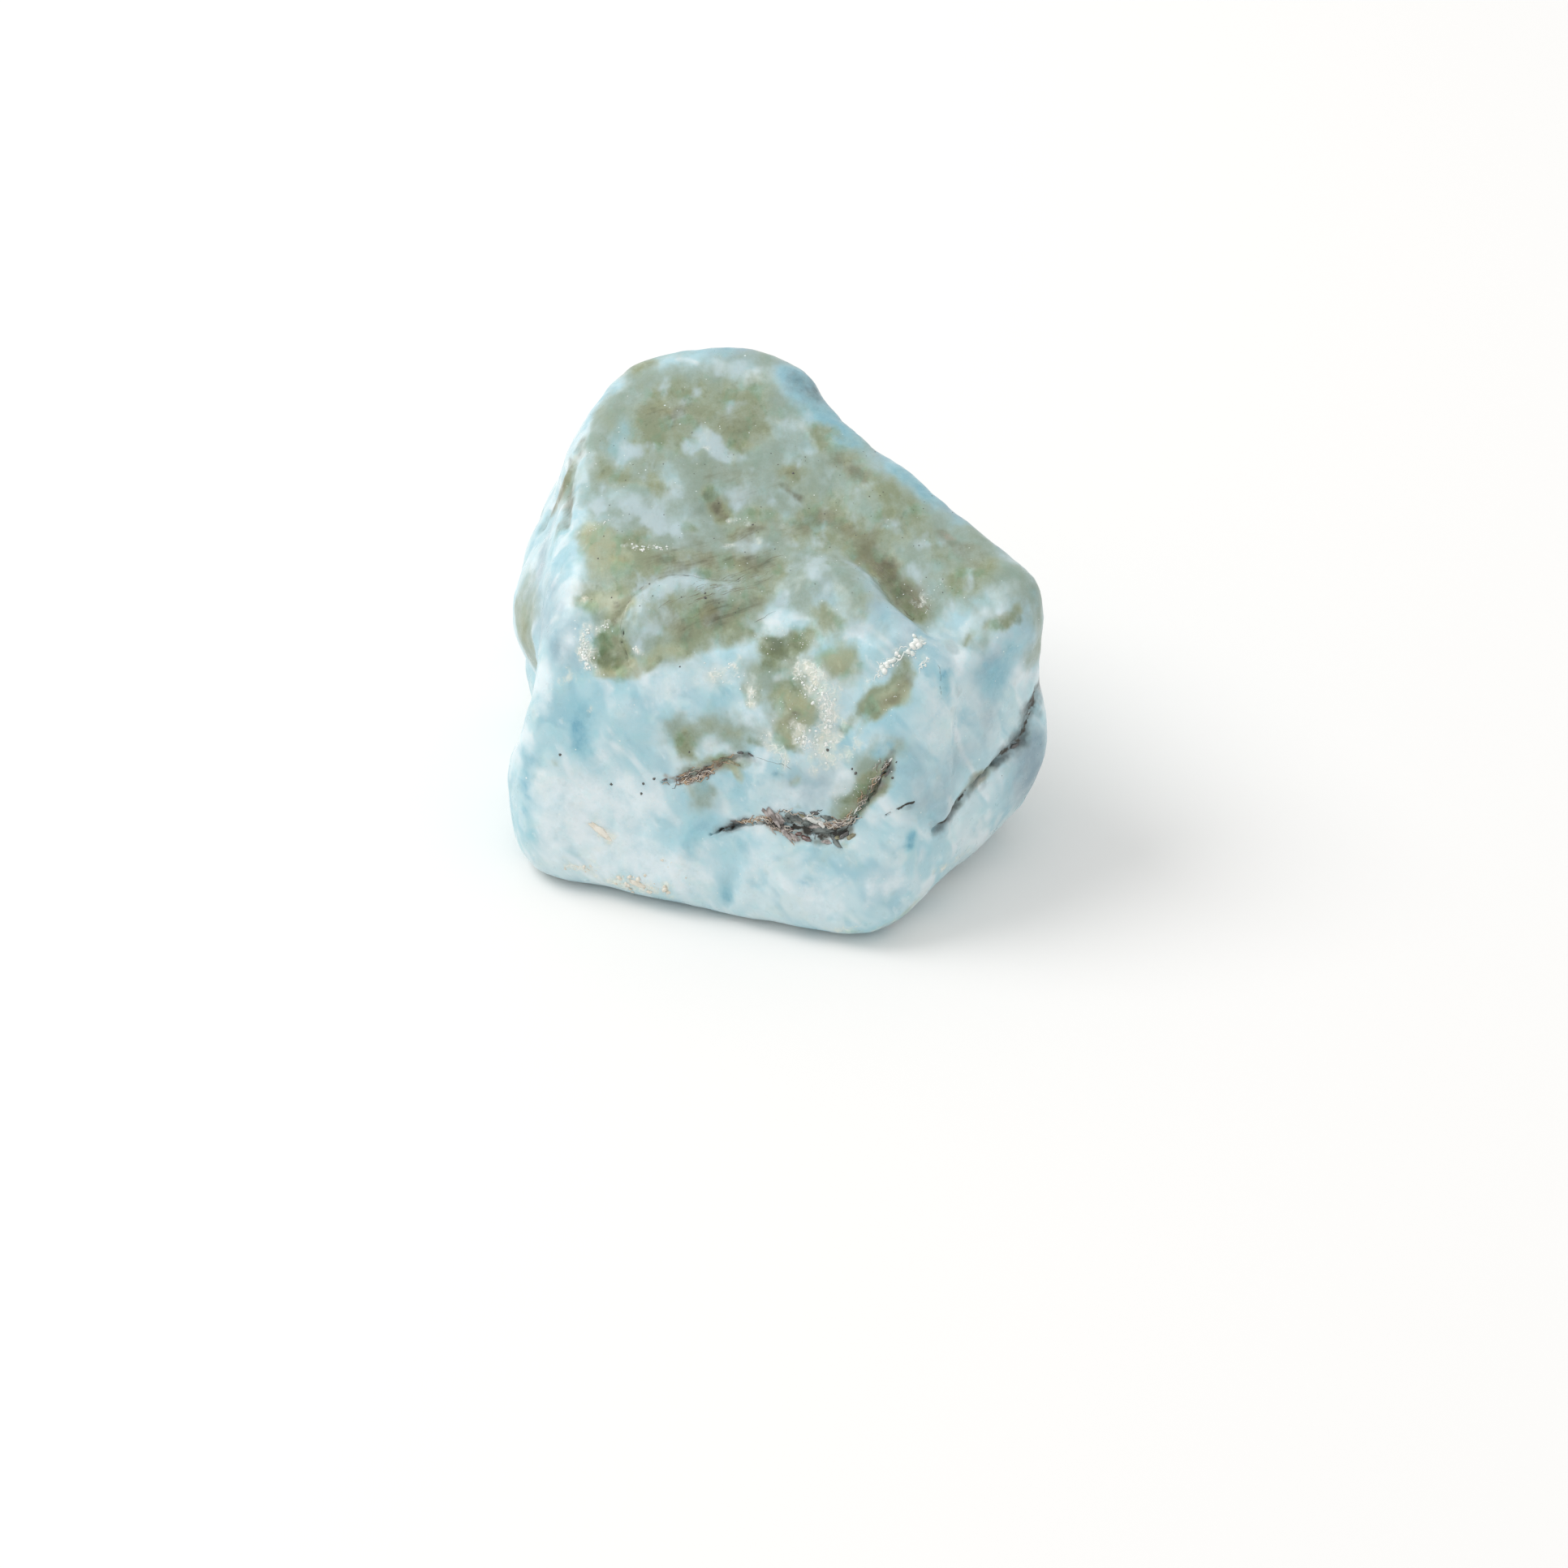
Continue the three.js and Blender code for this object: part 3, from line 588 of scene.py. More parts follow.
CLOUDS["brown"] = [  # a thicker stain
    # dome
    (0.4, 1.6, (-6, 7, 19), (-2, 7, 18.9)), (0.6, 1.2, (-6, 6.2, 18.8)), (0.6, 1.3, (-2, 5.8, 18.5)),
    (0.7, 0.6, (3, 4.2, 17.9)),
    # middle of the top
    (0.5, 1.2, (-3.4, 2, 17.4), (0, 1, 17)), (1, 0.4, (-3.6, 0.2, 16.9), (-3, -0.8, 16.6)),
    (0.9, 0.6, (-1.8, -1.6, 16.4)),
    # left boss
    (0.7, 0.2, (-8.5, -8.1, 14.5), (-7.7, -7, 15.3), (-6.8, -6.2, 15.9), (-5.9, -5.6, 16)),
    (0.45, 2, (-6.5, -3.4, 16.2), (-0.5, -3.2, 16)), (0.6, 0.9, (-5.8, -8.6, 14.8), (-3, -8.4, 15)),
    (0.8, 0.25, (-8.5, -7.4, 15.1), (-8.7, -8.6, 14.2), (-8.3, -9.8, 13)),
    (0.8, 0.8, (-6.4, -4.6, 16), (-1, -4.2, 16)),
    (0.8, 0.55, (-4.6, -9.2, 14.5), (-2.3, -8.4, 15), (-1.4, -7.8, 15.1)), (0.6, 0.6, (-0.8, -5.8, 15.7)),
    (0.6, 0.35, (-4.5, -7.4, 15.3), (-2.8, -7.8, 15.2)),
    # right of the top
    (0.7, [1, 0.9, 0.7, 0.45], (4.7, -4.2, 15.6), (5.8, -4.9, 15.4), (7, -6.3, 15.2), (8, -7.8, 14.6)),
    (0.65, 0.32, (9.1, -1.8, 16.3), (9.8, -2.4, 16.2), (10.9, -3.4, 16.1), (11.6, -4.5, 15.9)),
    (0.9, 0.6, (3.2, -1.6, 16.4), (4.6, -2.6, 16.1)), (0.5, 1.2, (4.4, -1.4, 16.5), (6.6, -2.2, 16.4)),
    (0.8, 0.7, (2.3, -0.6, 16.4), (1.4, -1.7, 16.4)),
    (0.8, 0.7, (5.4, -4.4, 15.5), (6.4, -6, 15.2), (7.4, -7.6, 14.7)), (0.8, 0.8, (2.2, -0.6, 16.6)),
    (0.9, 0.6, (4.6, -2.6, 16.1), (5.4, -4, 15.7)), (0.9, 0.6, (4.6, 2, 17.4), (3.6, 3.4, 17.7)),
    (0.8, 0.5, (9, -2, 16.5), (10.5, -4.5, 16)), (0.7, 0.5, (1, 2.6, 17.4)),
    # brow
    (0.45, 0.16, (-4.9, -12.2, 10.2), (-3.9, -12.6, 10.6), (-2.4, -12.9, 10.6), (-1.1, -13.5, 10.2),
     (-0.3, -13.7, 10.3)),
    (0.9, 0.35, (6.8, -12.5, 13), (6.2, -13, 12.5), (5.8, -13.1, 12.3)),
    (0.8, 0.25, (6.6, -12.2, 13.4), (6.2, -12.6, 13)), (0.7, 0.4, (0.9, -13.4, 11.9), (0.8, -13.8, 11.2)),
    (0.6, 0.35, (0.5, -10.3, 14.1)),
    # left
    (1, 0.35, (-11.2, 4.4, 17.6), (-11.5, 3.2, 16.9), (-11.9, 3, 15.9), (-12.6, 4.8, 13.8)),
    (0.9, 0.3, (-11.2, 1.9, 16.7), (-11.6, -0.7, 16.2)),
    (0.7, 0.45, (-11, 5.6, 17.6), (-11.4, 3, 16.8), (-11.6, 0.6, 16.2), (-11.8, -1.4, 15)),
    (0.7, 0.5, (-11.8, 4, 16.4), (-12.5, 5, 14.6), (-13, 4.5, 13)),
    # front
    (0.8, 0.4, (4.4, -15.1, 8), (5.1, -14.9, 8.9)),
    (0.7, 0.4, (-5, -13, 7.7), (-3.6, -13.1, 8.2), (-2.4, -13.3, 8.9)),
    (1, 0.25, (4.2, -15.4, 6.9), (4.8, -15.2, 7.8), (5.4, -15.1, 8.7), (6, -15, 9.6)),
    # right
    (1, 0.35, (9.6, -13.4, 6), (10.6, -12.2, 6.7), (11.4, -11.2, 7.1)),
    # back
    (0.7, 0.35, (-7.8, 17.1, 12.4), (-7.2, 17.4, 11.6)), (0.8, 0.3, (-9.6, 17.2, 8.4), (-8, 17.7, 8.9)),
    (0.6, 0.3, (1.9, 12.6, 12)),
]
CLOUDS["umber"] = [  # the thickest stain
    # dome
    (0.4, 1, (-4.4, 6, 18.8)), (0.45, 0.9, (-2, 4.4, 18.1)),
    # middle of the top
    (1, 0.2, (-3.9, 0.8, 16.9), (-3.4, 0.2, 16.7), (-2.9, -0.4, 16.5)),
    (0.9, 0.24, (-1.5, -1.4, 16.4), (-0.8, -1.7, 16.3)), (0.8, 0.3, (0.4, 1.9, 17.2), (1.1, 1, 16.9)),
    (0.7, 0.35, (-3.4, 0.8, 17), (-3, -0.4, 16.6)), (0.7, 0.4, (-1.2, -1.6, 16.4), (-0.4, -1.8, 16.3)),
    # left boss
    (0.6, 0.4, (-4.8, -9.6, 14.3), (-2.3, -8.3, 15), (-0.8, -7.2, 15.3)),
    (0.5, 0.5, (-6.4, -4.8, 16), (-1, -4.4, 15.9)), (0.6, 0.3, (-9.3, -9, 13.3)),
    # right of the top
    (0.7, 0.4, (2.4, -0.4, 16.4)), (0.85, 0.5, (5.6, -4.4, 15.6), (6.6, -6, 15.1), (7.2, -7.2, 14.9)),
    (0.8, [0.55, 0.55, 0.45, 0.3], (5.6, -4.5, 15.6), (6.3, -5.7, 15.2), (6.9, -6.9, 15),
     (7.7, -8.1, 14.7)),
    (0.6, 0.4, (4.6, 2, 17.4), (3.7, 3.3, 17.7)), (0.6, 0.35, (9.2, -2.4, 16.3), (10.2, -4, 16)),
    # brow
    (0.7, 0.4, (0.4, -10.2, 14.2)),
    # left
    (0.6, 0.25, (-11.7, 5.5, 17.3), (-11.3, 2, 16.7), (-11.4, -0.4, 16.4)),
    (0.6, 0.3, (-11.8, 4, 16.2), (-12.5, 5.4, 14.4)),
    # front
    (0.8, 0.3, (4, -15.3, 7.2), (4.9, -15.1, 7.9), (5.3, -15.2, 8.8)),
    (0.9, 0.22, (4.6, -15.2, 7.9), (5.3, -15, 8.8), (5.9, -14.8, 9.8)),
    (0.9, 0.25, (1.2, -15.8, 5.6), (2, -15.9, 5.5), (2.8, -16, 5.6)),
    (0.7, 0.25, (-4.8, -13, 7.7), (-3.4, -13.1, 8.2)),
    (0.8, 0.22, (-2.2, -13.3, 9.2), (-1.6, -13.4, 9.4)),
    (0.9, 0.35, (-0.4, -14.9, 6.1), (0.8, -15.3, 5.9), (1.9, -15.6, 5.9), (3.8, -15.7, 6)),
    # right
    (0.6, 0.3, (9.8, -13.2, 6.2), (11, -11.8, 7)),
]
CLOUDS["rust"] = [  # a red-brown stain beside the pockets
    # right of the top
    (0.6, 0.26, (9.2, -1.9, 16.3), (9.6, -2.2, 16.2)),
    # brow
    (0.6, 0.25, (0.9, -13.5, 11.8), (1.6, -13.2, 12)),
    # front
    (0.8, 0.35, (0.6, -15.1, 6), (1.6, -15.4, 6), (3.4, -15.6, 6.2)),
    (0.9, 0.3, (-4.9, -13.1, 7.6), (-4, -13.2, 8), (-3.2, -13.1, 8.4)),
    (0.8, 0.22, (-5.8, -12.9, 7.3), (-5.4, -13, 7.4)), (0.6, 0.3, (-2.2, -13.4, 9.2), (-2.6, -13.3, 8.8)),
    (0.8, 0.25, (-0.6, -14.8, 6.1), (0.4, -15.2, 5.7)), (1, 0.25, (1.5, -15.6, 5.6)),
    (0.7, 0.3, (4.2, -15.3, 7.4), (5.2, -15.1, 8.6)),
    # right
    (0.5, 0.2, (10.4, -12.6, 6.3), (11, -11.8, 6.8)),
]
CLOUDS["moss"] = [  # the greenest stain
    # middle of the top
    (0.6, 0.4, (-4.6, -1.6, 16.4)), (0.8, 0.35, (-3, -0.7, 16.6)), (0.6, 0.5, (-9.5, 3.3, 17.8)),
    # left boss
    (1, 0.5, (-9.2, -8.9, 13.5), (-9.4, -9.5, 12.8), (-8.9, -9.7, 12.8)),
    # right of the top
    (0.7, [0.7, 0.4], (6.6, -6.2, 15.1), (7.6, -7.8, 14.7)), (0.7, 0.4, (7.6, -8.2, 14.6)),
    (0.5, 0.6, (9.5, -6.5, 15.5)), (0.6, 0.3, (12.8, -8.1, 14.6)), (0.6, 0.5, (11.2, -5.4, 15.9)),
    (0.5, 0.6, (6, -4.8, 15.4)),
    # brow
    (1, 0.6, (-0.2, -10.1, 14.2), (-0.3, -11, 13.8), (0.4, -10.7, 14)),
    (1, 0.5, (1.1, -10.3, 14.2), (0.9, -9.8, 14.4)), (0.7, 0.3, (1.9, -9.5, 14.4)),
    (0.7, 0.3, (-1.4, -13.3, 10.5), (-0.6, -13.4, 10.3)), (0.6, 0.3, (6.9, -11.7, 13.7)),
    # left
    (0.4, 0.8, (-13.8, -1.8, 10.8)), (0.5, 0.6, (-13.7, -2.8, 10.8)),
    # front
    (0.7, 0.3, (4.2, -15.2, 7.6), (5, -15, 8.6)), (0.7, 0.5, (-4.9, -12.4, 9.6)),
    (0.9, 0.25, (3.7, -15.2, 7.5), (4, -15.1, 7.7)), (0.7, 0.2, (1.2, -15, 6.9)),
]
CLOUDS["smoke_and_shade"] = [  # painted grey shade beside the openings, in a fold at the back and along the dome's right edge
    # dome: painted shade along its right edge
    (0.74, 0.8, (1.4, 9.8, 19.6), (2.2, 8.4, 19.1)),
    # brow
    (0.8, 0.25, (5.9, -15, 9.6), (6.4, -14.7, 10.6)),
    # front
    (0.4, 0.22, (1, -15.6, 5.6), (2, -15.9, 5.5), (2.6, -16, 5.6)),
    (0.7, 0.25, (4.5, -15.3, 7.3), (5.2, -15.1, 8.6), (5.9, -15, 9.6)),
    (1, 0.22, (-2.5, -14.2, 5.5), (-1.8, -14.3, 5.8)), (0.8, 0.3, (-0.8, -13.5, 9.2), (-1.8, -13.3, 9.4)),
    (0.7, 0.3, (-3.3, -14.2, 5.1), (-1.8, -14.3, 5.8)),
    (0.5, 0.4, (0.4, -15.1, 6), (1.2, -15.4, 5.9), (2.4, -15.6, 5.9), (3.8, -15.7, 6)),
    (0.6, 0.3, (-5.2, -13, 7.5), (-3.6, -13, 8)), (0.4, 0.35, (0.1, -14.2, 8.6)),
    (0.5, 0.25, *SHORT_CRACK),
    # right
    (0.6, 0.3, (9.7, -13.4, 6.1), (10.2, -12.5, 6.1), (10.9, -11.7, 6.3)),
    (0.8, [0.3, 0.35, 0.1, 0.1], *LONG_CRACK[:4]), (1, 0.4, *LONG_CRACK[3:6]),
    (0.8, 0.6, *LONG_CRACK[5:]), (0.35, 0.9, *LONG_CRACK[5:]),
    (0.8, 0.5, (14.3, -6.9, 9.3), (14.5, -5.6, 9.6)),
    # back
    (0.8, 0.3, *BACK_CRACK), (0.7, 0.25, (6.2, 7.4, 6.6), (7.4, 5.8, 7.2), (8.4, 4.4, 7)),
]
CLOUDS["crust"] = [  # a film of white calcite
    # dome
    (0.8, 0.3, (-4, 4.2, 18.1)),
    # middle of the top
    (0.6, 0.3, (-2.6, -0.7, 16.5), (-1.6, -0.9, 16.4)), (0.5, 0.3, (0.2, -1.4, 16.2)),
    (0.6, 0.4, (-10, -1.4, 16.2), (-9, -1.2, 16.4)), (0.6, 0.3, (-2.6, -2.8, 16.2), (-1, -2.7, 16.2)),
    # left boss
    (1, 0.4, (-10.2, -8.4, 13.9), (-10.3, -9, 13.4), (-10.1, -9.4, 12.9), (-9.9, -10, 12.3)),
    (0.7, 0.3, (-9.6, -8.4, 14), (-9, -8.4, 14.2)),
    (0.7, 0.28, (-7.9, -3.3, 16.3), (-7.2, -3.8, 16), (-6.7, -3.4, 16), (-6.3, -3.7, 15.9),
     (-5.8, -3.3, 16.1)),
    (0.6, 0.3, (-10.2, -6.4, 14.9), (-10.5, -7.2, 14.5)), (0.8, 0.3, (-7.5, -9.7, 13.6)),
    # right of the top
    (0.5, 0.4, (7.4, -6.9, 14.8), (8.9, -5.8, 15.6)),
    # brow
    (0.9, 0.4, (2.7, -12.9, 12.1), (2.9, -13.4, 11.3)),
    (0.7, 0.25, (-9.8, -10.9, 10.8), (-9.9, -11, 10.4)), (0.6, 0.5, (-3.2, -11.4, 13)),
    (0.6, 0.4, (-2.3, -11, 13.4), (-1.4, -11.9, 12.9), (-1.1, -12.5, 12.3)),
    (0.8, 0.4, (-0.6, -13.4, 10.7), (0, -14, 10), (0.5, -14.2, 9.4)), (0.7, 0.7, (1.6, -11.7, 13.5)),
    (1, 0.6, (2, -12.3, 13), (2.8, -12.7, 12.4), (2.8, -13.2, 11.8), (2.9, -13.6, 11)),
    (0.85, 0.5, (1.3, -13.7, 10.9), (1.9, -13.8, 10.4), (2.6, -13.9, 9.8)),
    (0.8, 0.5, (2.9, -13.6, 11), (2, -14.2, 9.1), (3.4, -13.9, 10)),
    (0.5, 0.35, (4.8, -12, 13.3), (5.7, -11.5, 13.7)), (0.6, 0.3, (6.2, -11.1, 14), (7, -10.8, 14.2)),
    (0.9, 0.3, (7.4, -10.4, 14.3), (7.8, -10.2, 14.4)), (0.5, 0.25, (7.9, -11, 13.8)),
    (0.6, 0.4, (3.7, -14.3, 9.4), (4.8, -13.6, 10.8)),
    # left
    (0.7, 0.4, (-11, -9.6, 12.2), (-11.1, -10, 11.7)),
    # front
    (1, 0.5, (-8.6, -13.5, 1.4), (-5.8, -14.5, 1.5)), (1, 0.4, (-9.8, -12.9, 4.4), (-8.9, -13.1, 3.7)),
    (0.8, 0.4, (-11.4, -12.7, 1.9), (-9.8, -13.3, 1.7)), (0.6, 0.3, (-6, -14.2, 3.2), (-5, -14.5, 2.4)),
    (0.8, 0.3, (8.4, -15.3, 3), (10.2, -12.3, 2.4)),
    (0.6, 0.4, (0, -17.4, 0.6), (4.5, -17.8, 1), (7.4, -16.6, 1.4)),
    # back
    (0.8, 0.5, (-12.2, 14.4, 7), (-11.2, 15.8, 8)), (0.8, 0.4, (2.8, 11, 14.6), (4.4, 8.6, 14.8)),
    (0.7, 0.4, (-9.8, 16.6, 1.6), (-6.8, 16.6, 1.4)), (0.7, 0.4, (7.6, 6, 2), (9.6, 3.6, 1.8)),
    (0.7, 0.4, (-13.9, 10, 1.4), (-14.1, 6.4, 1.6)),
]
# the black line in each opening: dark oxide, and painted shade where it is deepest
CLOUDS["seam"] = [(black, widths, *line) for line, widths, _, black in OPENINGS]

RIND_CLOUDS = {"sage": 0.74, "pale": 0.3}  # how much of these the whole rind has
CLOUD_STEEPNESS = 2.3  # 2 is a soft cloud all the way out, and more keeps its middle full
stray = wander(places, CLOUD_WANDER)
rind = np.clip(inside(stray, RIND) / RIND_EDGE + 0.5, 0, 1) * (places[:, 2] > RIND_LOWEST)
for cloud, marks in CLOUDS.items():
    spots = uneven if cloud == "seam" else stray
    clear = 1 - RIND_CLOUDS.get(cloud, 0) * rind
    for strength, spread, *line in marks:
        clear *= 1 - strength * closeness(spots, line, spread, CLOUD_STEEPNESS)
    amount = stone_mesh.attributes.new(cloud, "FLOAT", "POINT")
    amount.data.foreach_set("value", (1 - clear).astype(np.float32))

# Larimar, worn smooth and waxy: soft clouds of sky blue and milk, stained olive and brown by
# iron along the top, with painted shade on the side away from the lamp, white dots painted in as
# glints, a soft gloss and a little light scattered just below the skin.
larimar, tree = empty_material("waxy_worn_larimar")
MM_PER_METRE = 1000

# Settings that many nodes share.
SMOOTH = {"interpolation_type": "SMOOTHSTEP"}
TIMES = {"operation": "MULTIPLY"}
PLUS = {"operation": "ADD"}
COVER_WITH = {"data_type": "RGBA"}
TINT_WITH = {"data_type": "RGBA", "blend_type": "MULTIPLY"}

# The stain's patterns are a little longer from front to back than across, and the wisps of milk
# and the fine flecks are drawn out down to one side.
place = add(tree, "TexCoord").node.outputs["Object"]
place = add(tree, "VectorMath", {"operation": "SCALE"}, Vector=place, Scale=MM_PER_METRE)
front_to_back = add(tree, "VectorMath", TIMES, Vector=[place, (1, 0.55, 1)])
slanting = add(tree, "VectorRotate", {"rotation_type": "Y_AXIS"}, Vector=place, Angle=np.radians(40))
slanting = add(tree, "VectorMath", TIMES, Vector=[slanting, (1, 1, 0.3)])

broad = add(tree, "TexNoise", Vector=place, Scale=1 / 4.5, Detail=3, Roughness=0.5)
wisps = add(tree, "TexNoise", Vector=slanting, Scale=1 / 1.8, Detail=2, Roughness=0.5, Distortion=0.4)
clouded = add(tree, "TexNoise", Vector=place, Scale=1 / 2.2, Detail=4, Roughness=0.55, Distortion=0.3)
flecks = add(tree, "TexNoise", Vector=slanting, Scale=1 / 0.35, Detail=2, Roughness=0.5)
lumpy = add(tree, "TexNoise", Vector=place, Scale=1 / 0.6, Detail=3)
grainy = add(tree, "TexNoise", Vector=place, Scale=1 / 0.12, Detail=2)

# Each wash of the ground colour: the noise it follows, where it starts and is full, and its most
# cover.
WASHES = (
    ("#cadee2", broad, 0.4, 0.6, 1.0),
    ("#9fcad5", clouded, 0.52, 0.66, 0.65),
    ("#dfeaed", wisps, 0.51, 0.68, 0.88),
    ("#92bfcc", wisps, 0.46, 0.3, 0.7),
    ("#e6eff1", flecks, 0.62, 0.76, 0.3),
)
colour = add(tree, "RGB").node.outputs["Color"]
colour.default_value = linear("#afd2da")
for wash, pattern, starts, full, most in WASHES:
    cover = add(tree, "MapRange", SMOOTH, Value=pattern, From_Min=starts, From_Max=full, To_Max=most)
    colour = add(tree, "Mix", COVER_WITH, Factor=cover, A=colour, B=linear(wash))

# Each stain or painted shade: its cloud, its thin and thick colours, the size in millimetres of the
# ragged clouds that break it up and how strongly they do, where it starts and is full, and its most cover.
STAINS_AND_SHADE = (
    # grey-blue, and painted shade on the sides away from the lamp
    ("dusk_and_shade", "#a2b9c1", "#7f99a6", 3.0, 0.3, 0.1, 0.8, 0.9),
    ("sage", "#a3b7b1", "#8b9c8d", 2.0, 0.35, 0.1, 0.7, 1.0),
    ("blue", "#9ac9d4", "#7fb2c1", 1.5, 0.3, 0.1, 1.1, 0.9),
    ("milk", "#cbdee3", "#e3edf0", 1.4, 0.3, 0.2, 1.0, 0.85),
    ("teal", "#8cc0cf", "#5f9fb8", 0.8, 0.3, 0.25, 1.05, 0.8),
    ("olive", "#9da992", "#858f71", 1.3, 0.35, 0.22, 1.05, 0.95),
    ("pale", "#adc1c2", "#bacdd2", 1.3, 0.45, 0.35, 0.9, 0.85),
    ("straw", "#abb89c", "#a7aa8c", 0.8, 0.2, 0.25, 1.05, 0.85),
    ("brown", "#8f947b", "#73735a", 1.1, 0.3, 0.25, 1.15, 0.75),
    ("umber", "#7c7d69", "#5a5844", 0.8, 0.3, 0.3, 1.15, 0.8),
    ("rust", "#a99d90", "#86705f", 0.5, 0.35, 0.25, 1.0, 0.8),
    ("moss", "#7e8c68", "#5f6a46", 0.8, 0.3, 0.3, 1.05, 0.85),
    # painted shade beside the openings and on the dome
    ("smoke_and_shade", "#7e8d8e", "#505b5c", 0.7, 0.25, 0.2, 1.1, 0.9),
    ("crust", "#c9d6d2", "#e3e6d9", 0.6, 0.45, 0.3, 1.1, 0.7),
    # oxide and painted shade down each opening
    ("seam", "#4f4c42", "#2b2a27", 0.35, 0.3, 0.35, 0.6, 1.0),
)
STAINS_AND_SHADE_APART = 31.7  # mm, so that no two follow the same noise
RAGGED_FROM = 0.3  # where a cloud is fainter than this, its raggedness fades out with it
fine_grained = add(tree, "Math", {"operation": "MULTIPLY_ADD"}, Value=[grainy, 0.5, lumpy])
covers = {}
for number, (cloud, thin, thick, size, break_up, starts, full, most) in enumerate(STAINS_AND_SHADE):
    amount = add(tree, "Attribute", {"attribute_name": cloud}).node.outputs["Fac"]
    apart = add(tree, "VectorMath", PLUS, Vector=[front_to_back, (STAINS_AND_SHADE_APART * number, 0, 0)])
    ragged = add(tree, "TexNoise", Vector=apart, Scale=1 / size, Detail=4, Roughness=0.5, Distortion=0.15)
    ragged = add(tree, "MapRange", Value=ragged, From_Min=0.3, From_Max=0.7, To_Min=-break_up,
                 To_Max=break_up)
    gate = add(tree, "MapRange", Value=amount, From_Max=RAGGED_FROM)
    ragged = add(tree, "Math", TIMES, Value=[ragged, gate])
    amount = add(tree, "Math", PLUS, Value=[amount, ragged])
    cover = add(tree, "MapRange", SMOOTH, Value=amount, From_Min=starts, From_Max=full, To_Max=most)
    covers[cloud] = cover
    amount = add(tree, "Math", {"operation": "MULTIPLY_ADD"}, Value=[fine_grained, 0.8, amount])
    depth = add(tree, "MapRange", SMOOTH, Value=amount, From_Min=full * 0.9, From_Max=1.8)
    stain = add(tree, "Mix", COVER_WITH, Factor=depth, A=linear(thin), B=linear(thick))
    colour = add(tree, "Mix", COVER_WITH, Factor=cover, A=colour, B=stain)

# The thickest of the crust stands out as a broken lace of fine white lines.
LACE_MESH = 0.38  # from line to line, mm
crooked = add(tree, "TexNoise", Vector=place, Scale=1 / 0.5, Detail=2).node.outputs["Color"]
crooked = add(tree, "Mix", {"data_type": "RGBA", "blend_type": "LINEAR_LIGHT"}, Factor=0.3, A=place,
              B=crooked)
lace = add(tree, "TexVoronoi", {"feature": "DISTANCE_TO_EDGE"}, Vector=crooked, Scale=1 / LACE_MESH)
lace = add(tree, "MapRange", SMOOTH, Value=lace, From_Min=0.16, From_Max=0.03)
unbroken = add(tree, "MapRange", SMOOTH, Value=lumpy, From_Min=0.44, From_Max=0.55)
lace = add(tree, "Math", TIMES, Value=[lace, unbroken])
lace = add(tree, "Math", TIMES, Value=[lace, covers["crust"]])
colour = add(tree, "Mix", COVER_WITH, Factor=lace, A=colour, B=linear("#f3f3ea"))

# Painted glints and dark specks: how far apart, their radius, the share of places that have one, and their
# colour.
GLINTS_AND_SPECKS = (
    # two sizes of white dot, painted in as glints
    (0.4, 0.032, 0.22, "#dfe8e4"),
    (0.9, 0.055, 0.09, "#dfeaea"),
    # dark specks of oxide in the stone
    (1.1, 0.03, 0.15, "#4b4a42"),
)
GLINTS_AND_SPECKS_APART = 17.3
for number, (spacing, radius, share, dot_colour) in enumerate(GLINTS_AND_SPECKS):
    apart = add(tree, "VectorMath", PLUS, Vector=[place, (0, GLINTS_AND_SPECKS_APART * number, 0)])
    dots = add(tree, "TexVoronoi", Vector=apart, Scale=1 / spacing)
    picks = add(tree, "SeparateColor", Color=dots.node.outputs["Color"])
    has_one = add(tree, "Math", {"operation": "LESS_THAN"}, Value=[picks, share])
    edge = radius / spacing
    on_dot = add(tree, "MapRange", Value=dots, From_Min=edge * 1.3, From_Max=edge * 0.7)
    cover = add(tree, "Math", TIMES, Value=[has_one, on_dot])
    colour = add(tree, "Mix", COVER_WITH, Factor=cover, A=colour, B=linear(dot_colour))

# The brown on the left of the top is drawn out into thin growth streaks that slant across it.
STREAK_SLANT = np.radians(-27)
STREAK_WIDTH = 0.28  # mm, and each is some seven times as long
streaks = add(tree, "VectorRotate", {"rotation_type": "Z_AXIS"}, Vector=place, Angle=STREAK_SLANT)
streaks = add(tree, "VectorMath", TIMES, Vector=[streaks, (0.14, 1, 1)])
streaks = add(tree, "TexNoise", Vector=streaks, Scale=1 / STREAK_WIDTH, Detail=2, Distortion=0.35)
streaks = add(tree, "MapRange", SMOOTH, Value=streaks, From_Min=0.5, From_Max=0.68)
on_the_left = add(tree, "SeparateXYZ", Vector=place)
on_the_left = add(tree, "MapRange", Value=on_the_left, From_Min=2, From_Max=0)
streaks = add(tree, "Math", TIMES, Value=[streaks, on_the_left])
streaks = add(tree, "Math", TIMES, Value=[streaks, covers["brown"]])
colour = add(tree, "Mix", TINT_WITH, Factor=streaks, A=colour, B=(0.62, 0.6, 0.55, 1))

